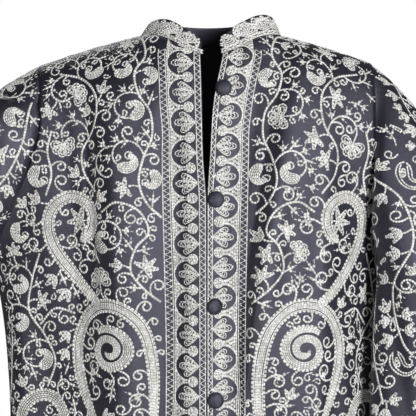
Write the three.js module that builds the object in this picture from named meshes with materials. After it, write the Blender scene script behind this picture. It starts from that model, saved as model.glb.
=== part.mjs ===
// An embroidered silk jacket with a band collar, hollow and filled out as it is when worn.
// Millimetres, +Z up, front towards -Y, and left and right are the viewer's, seen from the front.
// The origin is the middle of the neck opening, level with the inner ends of the shoulder seams.
import * as THREE from 'three';

// Cloth
const clothWall = 2;
const seamSetback = 0.2;

// Rows down the body: rounded shoulder, armhole, then straight down to the hem
const shoulderRows = 6;
const armholeRows = 6;
const skirtRows = 10;
const underarmRow = shoulderRows + armholeRows;
const bodyRows = underarmRow + skirtRows;
const rightAngle = Math.PI / 2;

// Columns across one front: along the neckline, then along the shoulder seam
const neckColumns = 7;
const shoulderColumns = 9;
const frontColumns = neckColumns + shoulderColumns;
const backColumns = 2 * frontColumns;
const sectionSamples = 96;

// Neckline, an oval that drops to a point at the front
const neck = { halfWidth: 84, middleY: -6, frontReach: 60, backReach: 54, rise: 3 };
const neckDrop = { front: 27, frontPower: 6, back: 7, backPower: 2 };
// Collar, from the left front edge (turn 0) round the back (turn 2) to the right front edge
const collarRows = 2;
const collarCorner = 0.75;
const collarStations = [
  { turn: 0, height: 19, lean: 10 },
  { turn: 0.45, height: 20, lean: 12 },
  { turn: 1, height: 16, lean: 11 },
  { turn: 1.5, height: 20, lean: 11 },
  { turn: 2.5, height: 22, lean: 9 },
  { turn: 3, height: 20, lean: 9 },
  { turn: 3.45, height: 24, lean: 8 },
  { turn: 4, height: 25, lean: 7 },
];

// Shoulder tips, and the armhole from the chest line down to the underarm point
const middleX = -5;
const chestDrop = 112;
const hemDrop = 700;
const armholeDepth = { front: 56, back: 50 };
const sleeveEase = { above: 20, below: 70 };
const underarmY = -2;
const shoulders = {
  left: { tipX: -204, tipDrop: 31, chestX: -202, underX: -263, underDrop: 258, flare: 1.23 },
  right: { tipX: 190, tipDrop: 28, chestX: 192, underX: 199, underDrop: 240, flare: 1 },
};
const shoulderBow = 2;
// How closely a level row keeps to the middle before it dips to its end on the armhole, turns in to
// the seam there and loses its folds, and how fast the neck's narrowing fades along a row
const edgePower = { dip: 3, turn: 8, fold: 6, neck: 4 };
const underarmSoftening = { rows: 4, passes: 6 };

// Level sections of the body: depth of the front and back at the middle, and reach of the side seams
const sections = [
  { drop: 112, front: 88, back: 62, left: -202, right: 192 },
  { drop: 180, front: 97, back: 70, left: -226, right: 195 },
  { drop: 240, front: 101, back: 71, left: -256, right: 199 },
  { drop: 262, front: 101.5, back: 70, left: -263, right: 201 },
  { drop: 310, front: 100, back: 65, left: -252, right: 205 },
  { drop: 370, front: 95, back: 58, left: -244, right: 210 },
  { drop: 440, front: 90, back: 54, left: -239, right: 216 },
  { drop: 520, front: 88, back: 58, left: -240, right: 222 },
  { drop: 600, front: 91, back: 66, left: -244, right: 229 },
  { drop: 700, front: 95, back: 71, left: -249, right: 235 },
];
// How full a section is: low values give a flat edge like a folded shirt, high ones a rounded side
const fullness = {
  left: { bow: 1.75, round: 0.95 },
  right: { bow: 2.3, round: 0.72 },
};

// The two front edges part towards the collar
const frontEdges = [
  { drop: 26, left: -12, right: 13 },
  { drop: 54, left: -11, right: 7 },
  { drop: 80, left: -10.4, right: 2.4 },
  { drop: 112, left: -9.8, right: 0 },
  { drop: 140, left: -9, right: -1.5 },
  { drop: 170, left: -7, right: -3.6 },
  { drop: 192, left: -5.2, right: -4.6 },
  { drop: 700, left: -5.2, right: -4.6 },
];

// Hanging folds: rise is outwards and a trough is negative, growing from one drop to the other
const frontFolds = [
  { x: -183, rise: -8, width: 26, from: 200, full: 560 },
  { x: -112, rise: 8, width: 34, from: 170, full: 520 },
  { x: -56, rise: -9, width: 24, from: 150, full: 480 },
  { x: -16, rise: 4, width: 20, from: 150, full: 420 },
  { x: 38, rise: -11, width: 22, from: 160, full: 440 },
  { x: 82, rise: 8, width: 26, from: 180, full: 520 },
  { x: 130, rise: -9, width: 24, from: 200, full: 520 },
  { x: 172, rise: 7, width: 20, from: 240, full: 560 },
];
const backFolds = [
  { x: -170, rise: 7, width: 28, from: 180, full: 560 },
  { x: -118, rise: -9, width: 26, from: 170, full: 500 },
  { x: -58, rise: 7, width: 30, from: 220, full: 600 },
  { x: -4, rise: -8, width: 28, from: 260, full: 620 },
  { x: 52, rise: 8, width: 30, from: 220, full: 560 },
  { x: 108, rise: -9, width: 24, from: 170, full: 500 },
  { x: 164, rise: 7, width: 24, from: 200, full: 560 },
];

// Sleeve rings from shoulder to cuff: the line over the arm, the line under it, the middle's Y and
// half the depth. A lap folds the cap's fullness back over the armhole seam.
const leftSleeve = [
  { overX: -219, overZ: -40, underX: -265, underZ: -261, y: -3, half: 57, lap: 0 },
  { overX: -238, overZ: -51, underX: -267, underZ: -264, y: -4, half: 56, lap: 0 },
  { overX: -262, overZ: -67, underX: -270, underZ: -268, y: -6, half: 54, lap: 0 },
  { overX: -292, overZ: -90, underX: -274, underZ: -273, y: -8, half: 52, lap: 0 },
  { overX: -324, overZ: -119, underX: -281, underZ: -281, y: -10, half: 50, lap: 0 },
  { overX: -358, overZ: -154, underX: -292, underZ: -293, y: -12, half: 49, lap: 0 },
  { overX: -393, overZ: -191, underX: -309, underZ: -311, y: -15, half: 47, lap: 0 },
  { overX: -430, overZ: -230, underX: -334, underZ: -336, y: -18, half: 46, lap: 0 },
  { overX: -468, overZ: -270, underX: -368, underZ: -369, y: -22, half: 45, lap: 0 },
  { overX: -506, overZ: -311, underX: -408, underZ: -408, y: -26, half: 44, lap: 0 },
  { overX: -544, overZ: -352, underX: -450, underZ: -447, y: -30, half: 43, lap: 0 },
  { overX: -582, overZ: -393, underX: -492, underZ: -486, y: -34, half: 42, lap: 0 },
  { overX: -618, overZ: -432, underX: -533, underZ: -524, y: -38, half: 41, lap: 0 },
];
const rightSleeve = [
  { overX: 201, overZ: -38, underX: 206, underZ: -243, y: -5, half: 57, lap: 12 },
  { overX: 219, overZ: -55, underX: 210, underZ: -249, y: -12, half: 59, lap: 24 },
  { overX: 246, overZ: -86, underX: 210, underZ: -259, y: -21, half: 58, lap: 28 },
  { overX: 277, overZ: -124, underX: 205, underZ: -274, y: -31, half: 55, lap: 24 },
  { overX: 304, overZ: -170, underX: 198, underZ: -295, y: -41, half: 51, lap: 15 },
  { overX: 322, overZ: -222, underX: 192, underZ: -322, y: -48, half: 48, lap: 8 },
  { overX: 331, overZ: -280, underX: 189, underZ: -355, y: -53, half: 45, lap: 3 },
  { overX: 333, overZ: -338, underX: 187, underZ: -393, y: -57, half: 43, lap: 0 },
  { overX: 331, overZ: -396, underX: 185, underZ: -435, y: -61, half: 42, lap: 0 },
  { overX: 326, overZ: -453, underX: 184, underZ: -480, y: -66, half: 41, lap: 0 },
  { overX: 319, overZ: -510, underX: 182, underZ: -527, y: -71, half: 40, lap: 0 },
  { overX: 311, overZ: -565, underX: 181, underZ: -575, y: -77, half: 39, lap: 0 },
  { overX: 302, overZ: -618, underX: 180, underZ: -622, y: -83, half: 38, lap: 0 },
];
const lapShape = 0.77;
// Long folds along the sleeves: angle from the over line round the front, and the rings they span
const leftSleeveFolds = [
  { angle: 52, rise: 6, width: 20, from: 0, peak: 3, to: 8 },
  { angle: 80, rise: -7, width: 17, from: 0, peak: 3, to: 9 },
  { angle: 250, rise: -5, width: 26, from: 1, peak: 4, to: 10 },
];
const rightSleeveFolds = [
  { angle: 70, rise: -6, width: 20, from: 1, peak: 5, to: 11 },
  { angle: 112, rise: 5, width: 22, from: 1, peak: 5, to: 12 },
  { angle: 270, rise: -5, width: 26, from: 1, peak: 4, to: 10 },
];

// Covered buttons, on the right front beside its edge
const button = { radius: 9.8, height: 7.4, rim: 1.6, sides: 16, inset: 10, seat: 0.3 };
const buttonDrops = [66, 191, 312, 423, 540];
const seatSteps = 4;
const domeSteps = 4;

// Value of one column of a table as a smooth curve through its rows, read at a value of its key
function readTable(table, column, at, key = 'drop') {
  const last = table.length - 1;
  let k = 0;
  while (k < last - 1 && at > table[k + 1][key]) k += 1;
  const span = table[k + 1][key] - table[k][key];
  const t = THREE.MathUtils.clamp((at - table[k][key]) / span, 0, 1);
  const slope = (row) => {
    const a = table[Math.max(row - 1, 0)];
    const b = table[Math.min(row + 1, last)];
    return (b[column] - a[column]) / (b[key] - a[key]);
  };
  const from = table[k][column];
  const to = table[k + 1][column];
  const lean = t * (1 - t) * span * (slope(k) * (1 - t) - slope(k + 1) * t);
  return from + (to - from) * t * t * (3 - 2 * t) + lean;
}

function mix(a, b, t) {
  return a + (b - a) * t;
}

// Points evenly spaced along a finely drawn line
function spaced(line, count) {
  const run = [0];
  for (let i = 1; i < line.length; i += 1) {
    run.push(run[i - 1] + line[i].distanceTo(line[i - 1]));
  }
  const total = run[run.length - 1];
  const points = [];
  let k = 0;
  for (let i = 0; i <= count; i += 1) {
    const want = total * i / count;
    while (k < line.length - 2 && run[k + 1] < want) k += 1;
    const t = THREE.MathUtils.clamp((want - run[k]) / (run[k + 1] - run[k]), 0, 1);
    points.push(line[k].clone().lerp(line[k + 1], t));
  }
  return points;
}

function foldRise(folds, x, drop) {
  let rise = 0;
  for (const fold of folds) {
    const grown = THREE.MathUtils.smoothstep(drop, fold.from, fold.full);
    rise += fold.rise * grown * Math.exp(-(((x - fold.x) / fold.width) ** 2));
  }
  return rise;
}

// Where a body row meets the armhole seam or the side seam
function sideEnd(side, face, row) {
  const s = shoulders[side];
  if (row <= underarmRow) {
    const turn = rightAngle * (row - shoulderRows) / armholeRows;
    const x = mix(s.chestX, s.underX, Math.sin(turn) ** s.flare);
    const depth = face === 'front' ? -armholeDepth.front : armholeDepth.back;
    const y = mix(underarmY, depth, Math.cos(turn));
    return new THREE.Vector3(x, y, -mix(chestDrop, s.underDrop, Math.sin(turn)));
  }
  const drop = mix(s.underDrop, hemDrop, (row - underarmRow) / skirtRows);
  return new THREE.Vector3(readTable(sections, side, drop), underarmY, -drop);
}

// How far down a row lies at the middle of its panel, where the rows are evenly spaced
function middleDrop(side, row) {
  const { underDrop } = shoulders[side];
  if (row <= underarmRow) return mix(chestDrop, underDrop, (row - shoulderRows) / armholeRows);
  return mix(underDrop, hemDrop, (row - underarmRow) / skirtRows);
}

// The side of the body, deep where the sleeve is set in and closing to the side seam below it
function sideY(side, face, drop) {
  const from = chestDrop + sleeveEase.above;
  const to = shoulders[side].underDrop + sleeveEase.below;
  const depth = face === 'front' ? -armholeDepth.front : armholeDepth.back;
  return mix(depth, underarmY, THREE.MathUtils.smoothstep(drop, from, to));
}

// One row of the cloth from x = fromX out to the seam at its side
function halfSection(side, face, row, fromX, levelDrop) {
  const end = sideEnd(side, face, row);
  const outward = face === 'front' ? -1 : 1;
  const folds = face === 'front' ? frontFolds : backFolds;
  const { bow, round } = fullness[side];
  const reach = end.x - middleX;
  const start = Math.asin((fromX - middleX) / reach);
  const line = [];
  for (let i = 0; i <= sectionSamples; i += 1) {
    const s = Math.sin(mix(start, rightAngle, i / sectionSamples));
    const out = Math.min(Math.abs(s), 1);
    const x = middleX + reach * s;
    const drop = mix(levelDrop, -end.z, out ** edgePower.dip);
    const closedY = sideY(side, face, drop);
    const middleY = outward * readTable(sections, face, drop);
    const level = mix(closedY, middleY, (1 - out ** bow) ** round);
    const turned = (end.y - closedY) * out ** edgePower.turn;
    const rise = foldRise(folds, x, drop) * (1 - out ** edgePower.fold);
    line.push(new THREE.Vector3(x, level + turned + outward * rise, -drop));
  }
  return line;
}

// Half of the neckline, from its shoulder end round to an angle towards the front or back
function neckPoint(side, face, angle) {
  const sign = side === 'left' ? -1 : 1;
  const reach = face === 'front' ? -neck.frontReach : neck.backReach;
  const sine = Math.sin(angle);
  const drop = neckDrop[face] * sine ** neckDrop[`${face}Power`];
  return new THREE.Vector3(
    sign * neck.halfWidth * Math.cos(angle),
    neck.middleY + reach * sine,
    neck.rise - drop,
  );
}

// Shoulder seam from the neck out to the tip, both ends included
function shoulderSeam(side) {
  const s = shoulders[side];
  const inner = neckPoint(side, 'front', 0);
  const tip = new THREE.Vector3(s.tipX, 0, -s.tipDrop);
  const points = [];
  for (let i = 0; i <= shoulderColumns; i += 1) {
    const t = i / shoulderColumns;
    const point = inner.clone().lerp(tip, t);
    point.z += shoulderBow * Math.sin(Math.PI * t);
    points.push(point);
  }
  return points;
}

// The cloth rolls forwards or backwards off a top line and down to the chest line
function shoulderRow(top, chest, row) {
  const turn = rightAngle * row / shoulderRows;
  return top.map((from, i) => new THREE.Vector3(
    mix(from.x, chest[i].x, Math.sin(turn)),
    mix(from.y, chest[i].y, Math.sin(turn)),
    mix(from.z, chest[i].z, 1 - Math.cos(turn)),
  ));
}

function frontGrid(side) {
  const edgeAngle = Math.acos(Math.abs(frontEdges[0][side]) / neck.halfWidth);
  const top = [];
  for (let i = 0; i < neckColumns; i += 1) {
    top.push(neckPoint(side, 'front', edgeAngle * (1 - i / neckColumns)));
  }
  top.push(...shoulderSeam(side));
  const rows = [];
  for (let row = shoulderRows; row <= bodyRows; row += 1) {
    const drop = middleDrop(side, row);
    const edgeX = readTable(frontEdges, side, drop);
    rows.push(spaced(halfSection(side, 'front', row, edgeX, drop), frontColumns));
  }
  const yoke = [];
  for (let row = 0; row < shoulderRows; row += 1) {
    const line = shoulderRow(top, rows[0], row);
    const shift = readTable(frontEdges, side, -line[0].z) - line[0].x;
    line.forEach((point, i) => {
      if (row > 0) point.x += shift * (1 - i / frontColumns) ** edgePower.neck;
    });
    relax(line, row);
    yoke.push(line);
  }
  return soften([...yoke, ...rows]);
}

function backGrid() {
  const top = shoulderSeam('left').reverse();
  for (let i = 1; i < 2 * neckColumns; i += 1) {
    const angle = rightAngle * i / neckColumns;
    const side = i <= neckColumns ? 'left' : 'right';
    top.push(neckPoint(side, 'back', i <= neckColumns ? angle : Math.PI - angle));
  }
  top.push(...shoulderSeam('right'));
  const rows = [];
  for (let row = shoulderRows; row <= bodyRows; row += 1) {
    const drop = mix(middleDrop('left', row), middleDrop('right', row), 0.5);
    const left = halfSection('left', 'back', row, middleX, drop).reverse();
    const right = halfSection('right', 'back', row, middleX, drop);
    rows.push(spaced([...left, ...right.slice(1)], backColumns));
  }
  const yoke = [];
  for (let row = 0; row < shoulderRows; row += 1) {
    const line = shoulderRow(top, rows[0], row);
    relax(line, row);
    yoke.push(line);
  }
  return soften([...yoke, ...rows]);
}

// Evens out the rows around the underarm, where the armhole turns into the side seam
function soften(grid) {
  for (let pass = 0; pass < underarmSoftening.passes; pass += 1) {
    const before = grid.map((line) => line.map((point) => point.clone()));
    const from = underarmRow - underarmSoftening.rows;
    for (let j = from; j <= underarmRow + underarmSoftening.rows; j += 1) {
      for (let i = 1; i < grid[j].length - 1; i += 1) {
        grid[j][i].lerp(before[j - 1][i].clone().lerp(before[j + 1][i], 0.5), 0.5);
      }
    }
  }
  return grid;
}

// Evens out a row between its ends, so that the corner at the neck fades into the chest
function relax(line, passes) {
  for (let pass = 0; pass < passes; pass += 1) {
    const before = line.map((point) => point.clone());
    for (let i = 1; i < line.length - 1; i += 1) {
      line[i].lerp(before[i - 1].clone().lerp(before[i + 1], 0.5), 0.5);
    }
  }
}

// The neckline all round from one front edge to the other, shared with the collar
function collarGrid(left, back, right) {
  const base = [
    ...left[0].slice(0, neckColumns),
    ...back[0].slice(shoulderColumns, shoulderColumns + 2 * neckColumns + 1),
    ...right[0].slice(0, neckColumns).reverse(),
  ];
  const grid = [];
  for (let row = collarRows; row >= 0; row -= 1) {
    const up = row / collarRows;
    grid.push(base.map((point, i) => {
      const turn = i / neckColumns;
      const cut = i === 0 || i === base.length - 1 ? collarCorner : 1;
      const height = readTable(collarStations, 'height', turn, 'turn') * cut;
      const lean = readTable(collarStations, 'lean', turn, 'turn');
      const inward = new THREE.Vector3(-point.x, neck.middleY - point.y, 0).setLength(lean * up);
      return point.clone().add(inward).setZ(point.z + height * up);
    }));
  }
  return grid;
}

// Rings of a sleeve: the armhole first, then ovals down to the open cuff
function sleeveGrid(armhole, rings, folds) {
  const count = armhole.length;
  const grid = [armhole];
  rings.forEach((ring, k) => {
    const over = new THREE.Vector3(ring.overX, ring.y, ring.overZ);
    const under = new THREE.Vector3(ring.underX, ring.y, ring.underZ);
    const middle = over.clone().lerp(under, 0.5);
    const points = [];
    for (let i = 0; i < count; i += 1) {
      const degrees = 360 * i / count;
      const angle = THREE.MathUtils.degToRad(degrees);
      const point = over.clone().lerp(under, (1 - Math.cos(angle)) / 2);
      point.y -= ring.half * Math.sin(angle);
      point.x -= ring.lap * lapShape * Math.max(Math.sin(angle), 0) * (1 - Math.cos(angle));
      let rise = 0;
      for (const fold of folds) {
        const grown = THREE.MathUtils.smoothstep(k + 1, fold.from, fold.peak)
          * (1 - THREE.MathUtils.smoothstep(k + 1, fold.peak, fold.to));
        rise += fold.rise * grown * Math.exp(-(((degrees - fold.angle) / fold.width) ** 2));
      }
      point.add(point.clone().sub(middle).setLength(rise));
      points.push(point);
    }
    grid.push(points);
  });
  return grid;
}

function armholeLoop(front, back, frontColumn, backColumn) {
  const loop = [];
  for (let row = 0; row <= underarmRow; row += 1) loop.push(front[row][frontColumn].clone());
  for (let row = underarmRow - 1; row > 0; row -= 1) loop.push(back[row][backColumn].clone());
  return loop;
}

// Outward normals of all the cloth together, so that pieces meeting at a seam share a mitre there.
// The body, the sleeves and the collar weigh the same where they meet.
const seamNormals = new Map();
const sharedGrain = 0.01;

function normalKey(point) {
  return [point.x, point.y, point.z].map((value) => Math.round(value / sharedGrain)).join(' ');
}

function eachQuad(panel, visit) {
  const { grid, closed } = panel;
  const columns = grid[0].length;
  for (let j = 0; j < grid.length - 1; j += 1) {
    for (let i = 0; i < (closed ? columns : columns - 1); i += 1) {
      const next = (i + 1) % columns;
      visit([j, i], [j, next], [j + 1, next], [j + 1, i]);
    }
  }
}

function addNormals(panel) {
  eachQuad(panel, (...corners) => {
    const points = corners.map(([j, i]) => panel.grid[j][i]);
    const across = points[2].clone().sub(points[0]);
    const normal = across.cross(points[3].clone().sub(points[1]));
    if (panel.flip) normal.negate();
    normal.normalize();
    for (const point of points) {
      const key = normalKey(point);
      const sums = seamNormals.get(key) ?? {};
      sums[panel.group] = (sums[panel.group] ?? new THREE.Vector3()).add(normal);
      seamNormals.set(key, sums);
    }
  });
}

function outwardAt(point) {
  const outward = new THREE.Vector3();
  for (const sum of Object.values(seamNormals.get(normalKey(point)))) {
    outward.add(sum.clone().normalize());
  }
  return outward.normalize();
}

// Moves one seamed edge back from its seam plane. A run is a stretch of cells [row, column] and
// step leads from a cell to its neighbour inside the panel.
function setBack(panel, walls, run) {
  const { grid, closed } = panel;
  const at = ([j, i]) => grid[j][i];
  run.cells.forEach((cell, k) => {
    const count = run.cells.length;
    const before = closed ? run.cells[(k + count - 1) % count] : run.cells[Math.max(k - 1, 0)];
    const after = closed ? run.cells[(k + 1) % count] : run.cells[Math.min(k + 1, count - 1)];
    const along = at(after).clone().sub(at(before));
    const inside = grid[cell[0] + run.step[0]][cell[1] + run.step[1]].clone().sub(at(cell));
    const pull = along.cross(outwardAt(at(cell))).setLength(seamSetback);
    if (pull.dot(inside) < 0) pull.negate();
    for (const wall of walls) wall[cell[0]][cell[1]].add(pull);
  });
}

function rowRun(row, from, to, step) {
  return { cells: Array.from({ length: to - from + 1 }, (_, k) => [row, from + k]), step: [step, 0] };
}

function columnRun(column, from, to, step) {
  return { cells: Array.from({ length: to - from + 1 }, (_, k) => [from + k, column]), step: [0, step] };
}

// A closed wall: the outer grid, the same grid set in by the cloth's thickness, and the edges
function panelGeometry(panel) {
  const { grid, closed, flip, seams } = panel;
  const rows = grid.length;
  const columns = grid[0].length;
  const outer = grid.map((line) => line.map((point) => point.clone()));
  const inner = grid.map((line) => line.map((point, i) => {
    const inward = outwardAt(point);
    if (panel.frontEdges?.includes(i)) inward.x = 0;
    return point.clone().addScaledVector(inward.normalize(), -clothWall);
  }));
  for (const run of seams) setBack(panel, [outer, inner], run);
  const positions = [];
  const facet = (a, b, c) => {
    for (const point of flip ? [a, c, b] : [a, b, c]) positions.push(point.x, point.y, point.z);
  };
  const quad = (a, b, c, d) => {
    facet(a, b, c);
    facet(a, c, d);
  };
  eachQuad(panel, ([j, i], [, next], [below]) => {
    quad(outer[j][i], outer[j][next], outer[below][next], outer[below][i]);
    facet(inner[j][i], inner[below][next], inner[j][next]);
    facet(inner[j][i], inner[below][i], inner[below][next]);
    if (j === 0) quad(outer[0][next], outer[0][i], inner[0][i], inner[0][next]);
    if (below === rows - 1) quad(outer[below][i], outer[below][next], inner[below][next], inner[below][i]);
    if (!closed && i === 0) quad(outer[j][0], outer[below][0], inner[below][0], inner[j][0]);
    if (!closed && next === columns - 1) {
      quad(outer[below][next], outer[j][next], inner[j][next], inner[below][next]);
    }
  });
  const geometry = new THREE.BufferGeometry();
  geometry.setAttribute('position', new THREE.Float32BufferAttribute(positions, 3));
  geometry.computeVertexNormals();
  return geometry;
}

// A covered button seated on the right front, square to the cloth
function seatButton(mesh, grid, drop) {
  const pointAt = (inset, down) => {
    let j = 0;
    while (j < grid.length - 2 && -grid[j + 1][0].z < down) j += 1;
    const t = (down + grid[j][0].z) / (grid[j][0].z - grid[j + 1][0].z);
    const line = grid[j].map((point, i) => point.clone().lerp(grid[j + 1][i], t));
    let left = inset;
    let i = 0;
    while (left > line[i + 1].distanceTo(line[i])) {
      left -= line[i + 1].distanceTo(line[i]);
      i += 1;
    }
    return line[i].clone().lerp(line[i + 1], left / line[i + 1].distanceTo(line[i]));
  };
  const middle = pointAt(button.inset, drop);
  const across = pointAt(button.inset + button.radius, drop).sub(pointAt(0, drop));
  const down = pointAt(button.inset, drop + button.radius)
    .sub(pointAt(button.inset, drop - button.radius));
  const normal = down.cross(across).normalize();
  let proud = 0;
  for (let a = -seatSteps; a <= seatSteps; a += 1) {
    for (let b = -seatSteps; b <= seatSteps; b += 1) {
      const inset = button.inset * (1 + a / seatSteps);
      const under = pointAt(inset, drop + button.radius * b / seatSteps);
      proud = Math.max(proud, under.sub(middle).dot(normal));
    }
  }
  mesh.position.copy(middle).addScaledVector(normal, proud + button.seat);
  mesh.quaternion.setFromUnitVectors(new THREE.Vector3(0, 1, 0), normal);
}

function buttonGeometry() {
  const { radius, height, rim, sides } = button;
  const profile = [
    new THREE.Vector2(0, 0),
    new THREE.Vector2(radius - rim, 0),
    new THREE.Vector2(radius, rim),
  ];
  for (let i = 1; i <= domeSteps; i += 1) {
    const turn = rightAngle * i / domeSteps;
    const out = i === domeSteps ? 0 : radius * Math.cos(turn);
    profile.push(new THREE.Vector2(out, rim + (height - rim) * Math.sin(turn)));
  }
  return new THREE.LatheGeometry(profile, sides);
}

const silk = { color: 0x3b3b4e, roughness: 0.62, metalness: 0 };
const frontLeft = frontGrid('left');
const frontRight = frontGrid('right');
const back = backGrid();
const leftArmhole = armholeLoop(frontLeft, back, frontColumns, 0);
const rightArmhole = armholeLoop(frontRight, back, frontColumns, backColumns);
const sideSeams = (column, step) => [
  columnRun(column, 0, underarmRow, step),
  columnRun(column, underarmRow, bodyRows, step),
];
const frontSeams = [
  rowRun(0, 0, neckColumns, 1),
  rowRun(0, neckColumns, frontColumns, 1),
  ...sideSeams(frontColumns, -1),
];
const backSeams = [
  rowRun(0, 0, shoulderColumns, 1),
  rowRun(0, shoulderColumns, backColumns - shoulderColumns, 1),
  rowRun(0, backColumns - shoulderColumns, backColumns, 1),
  ...sideSeams(0, 1),
  ...sideSeams(backColumns, -1),
];
const collarEnd = 4 * neckColumns;
const armholeSeam = [rowRun(0, 0, 2 * underarmRow - 1, 1)];

const panels = [
  { name: 'front_left', group: 'body', grid: frontLeft, flip: false, seams: frontSeams, frontEdges: [0] },
  { name: 'front_right', group: 'body', grid: frontRight, flip: true, seams: frontSeams, frontEdges: [0] },
  { name: 'back', group: 'body', grid: back, flip: false, seams: backSeams },
  {
    name: 'collar',
    group: 'collar',
    grid: collarGrid(frontLeft, back, frontRight),
    flip: false,
    seams: [rowRun(collarRows, 0, collarEnd, -1)],
    frontEdges: [0, collarEnd],
  },
  {
    name: 'sleeve_left',
    group: 'sleeve',
    grid: sleeveGrid(leftArmhole, leftSleeve, leftSleeveFolds),
    flip: true,
    closed: true,
    seams: armholeSeam,
  },
  {
    name: 'sleeve_right',
    group: 'sleeve',
    grid: sleeveGrid(rightArmhole, rightSleeve, rightSleeveFolds),
    flip: false,
    closed: true,
    seams: armholeSeam,
  },
];

const jacket = new THREE.Group();
panels.forEach(addNormals);
for (const panel of panels) {
  const mesh = new THREE.Mesh(panelGeometry(panel), new THREE.MeshStandardMaterial(silk));
  mesh.name = panel.name;
  jacket.add(mesh);
}
buttonDrops.forEach((drop, i) => {
  const mesh = new THREE.Mesh(buttonGeometry(), new THREE.MeshStandardMaterial(silk));
  mesh.name = `button_${i + 1}`;
  seatButton(mesh, frontRight, drop);
  jacket.add(mesh);
});

export default jacket;
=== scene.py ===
import bpy
import math
import random
import numpy as np
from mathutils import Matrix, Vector


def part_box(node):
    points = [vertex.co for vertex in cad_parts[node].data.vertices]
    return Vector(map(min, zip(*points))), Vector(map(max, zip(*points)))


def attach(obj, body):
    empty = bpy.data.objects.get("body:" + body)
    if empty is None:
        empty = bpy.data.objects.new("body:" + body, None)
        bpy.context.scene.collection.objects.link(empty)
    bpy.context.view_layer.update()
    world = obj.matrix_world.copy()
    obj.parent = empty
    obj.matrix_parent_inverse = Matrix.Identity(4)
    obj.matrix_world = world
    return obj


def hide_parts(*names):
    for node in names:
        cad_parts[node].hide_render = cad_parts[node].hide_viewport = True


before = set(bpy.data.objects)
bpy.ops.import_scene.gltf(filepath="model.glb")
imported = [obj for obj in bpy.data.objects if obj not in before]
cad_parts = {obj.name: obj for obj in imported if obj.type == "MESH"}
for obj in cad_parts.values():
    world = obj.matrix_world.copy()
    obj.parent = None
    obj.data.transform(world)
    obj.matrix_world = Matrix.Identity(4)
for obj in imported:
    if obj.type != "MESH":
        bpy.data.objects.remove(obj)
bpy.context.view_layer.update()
print("frame loaded")

# The jacket's form, in millimetres: the same sizes as its solids. Front towards -Y, left is the
# viewer's left. Drops are measured down from the neck.
mm = 0.001
rightAngle = math.pi / 2


def table(names, *rows):
    return [dict(zip(names.split(), row)) for row in rows]


form = {
    "shoulderRows": 6, "armholeRows": 6, "skirtRows": 10, "neckColumns": 7, "shoulderColumns": 9,
    "middleX": -5, "chestDrop": 112, "hemDrop": 700, "frontArmhole": -56, "backArmhole": 50,
    "easeAbove": 20, "easeBelow": 70, "underarmY": -2, "shoulderBow": 2,
    "dip": 3, "turn": 8, "foldFade": 6, "neckFade": 4, "softRows": 4, "softPasses": 6,
    "neckHalfWidth": 84, "neckY": -6, "neckFront": 60, "neckBack": 54, "neckRise": 3,
    "frontNeckDrop": 27, "frontNeckPower": 6, "backNeckDrop": 7, "backNeckPower": 2,
    "collarRows": 2, "collarCorner": 0.75, "lapShape": 0.77,
}
underarmRow = form["shoulderRows"] + form["armholeRows"]
bodyRows = underarmRow + form["skirtRows"]
frontColumns = form["neckColumns"] + form["shoulderColumns"]

shoulders = {
    "left": {"tipX": -204, "tipDrop": 31, "chestX": -202, "underX": -263, "underDrop": 258,
             "flare": 1.23, "bow": 1.75, "round": 0.95},
    "right": {"tipX": 190, "tipDrop": 28, "chestX": 192, "underX": 199, "underDrop": 240,
              "flare": 1, "bow": 2.3, "round": 0.72},
}
sections = table(
    "drop front back left right",
    (112, 88, 62, -202, 192), (180, 97, 70, -226, 195), (240, 101, 71, -256, 199),
    (262, 101.5, 70, -263, 201), (310, 100, 65, -252, 205), (370, 95, 58, -244, 210),
    (440, 90, 54, -239, 216), (520, 88, 58, -240, 222), (600, 91, 66, -244, 229),
    (700, 95, 71, -249, 235))
frontEdges = table(
    "drop left right",
    (26, -12, 13), (54, -11, 7), (80, -10.4, 2.4), (112, -9.8, 0), (140, -9, -1.5),
    (170, -7, -3.6), (192, -5.2, -4.6), (700, -5.2, -4.6))
folds = {
    "front": table(
        "x rise width start full",
        (-183, -8, 26, 200, 560), (-112, 8, 34, 170, 520), (-56, -9, 24, 150, 480),
        (-16, 4, 20, 150, 420), (38, -11, 22, 160, 440), (82, 8, 26, 180, 520),
        (130, -9, 24, 200, 520), (172, 7, 20, 240, 560)),
    "back": table(
        "x rise width start full",
        (-170, 7, 28, 180, 560), (-118, -9, 26, 170, 500), (-58, 7, 30, 220, 600),
        (-4, -8, 28, 260, 620), (52, 8, 30, 220, 560), (108, -9, 24, 170, 500),
        (164, 7, 24, 200, 560)),
}
collarStations = table(
    "turn height lean",
    (0, 19, 10), (0.45, 20, 12), (1, 16, 11), (1.5, 20, 11), (2.5, 22, 9), (3, 20, 9),
    (3.45, 24, 8), (4, 25, 7))
ringNames = "overX overZ underX underZ y half lap"
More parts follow.
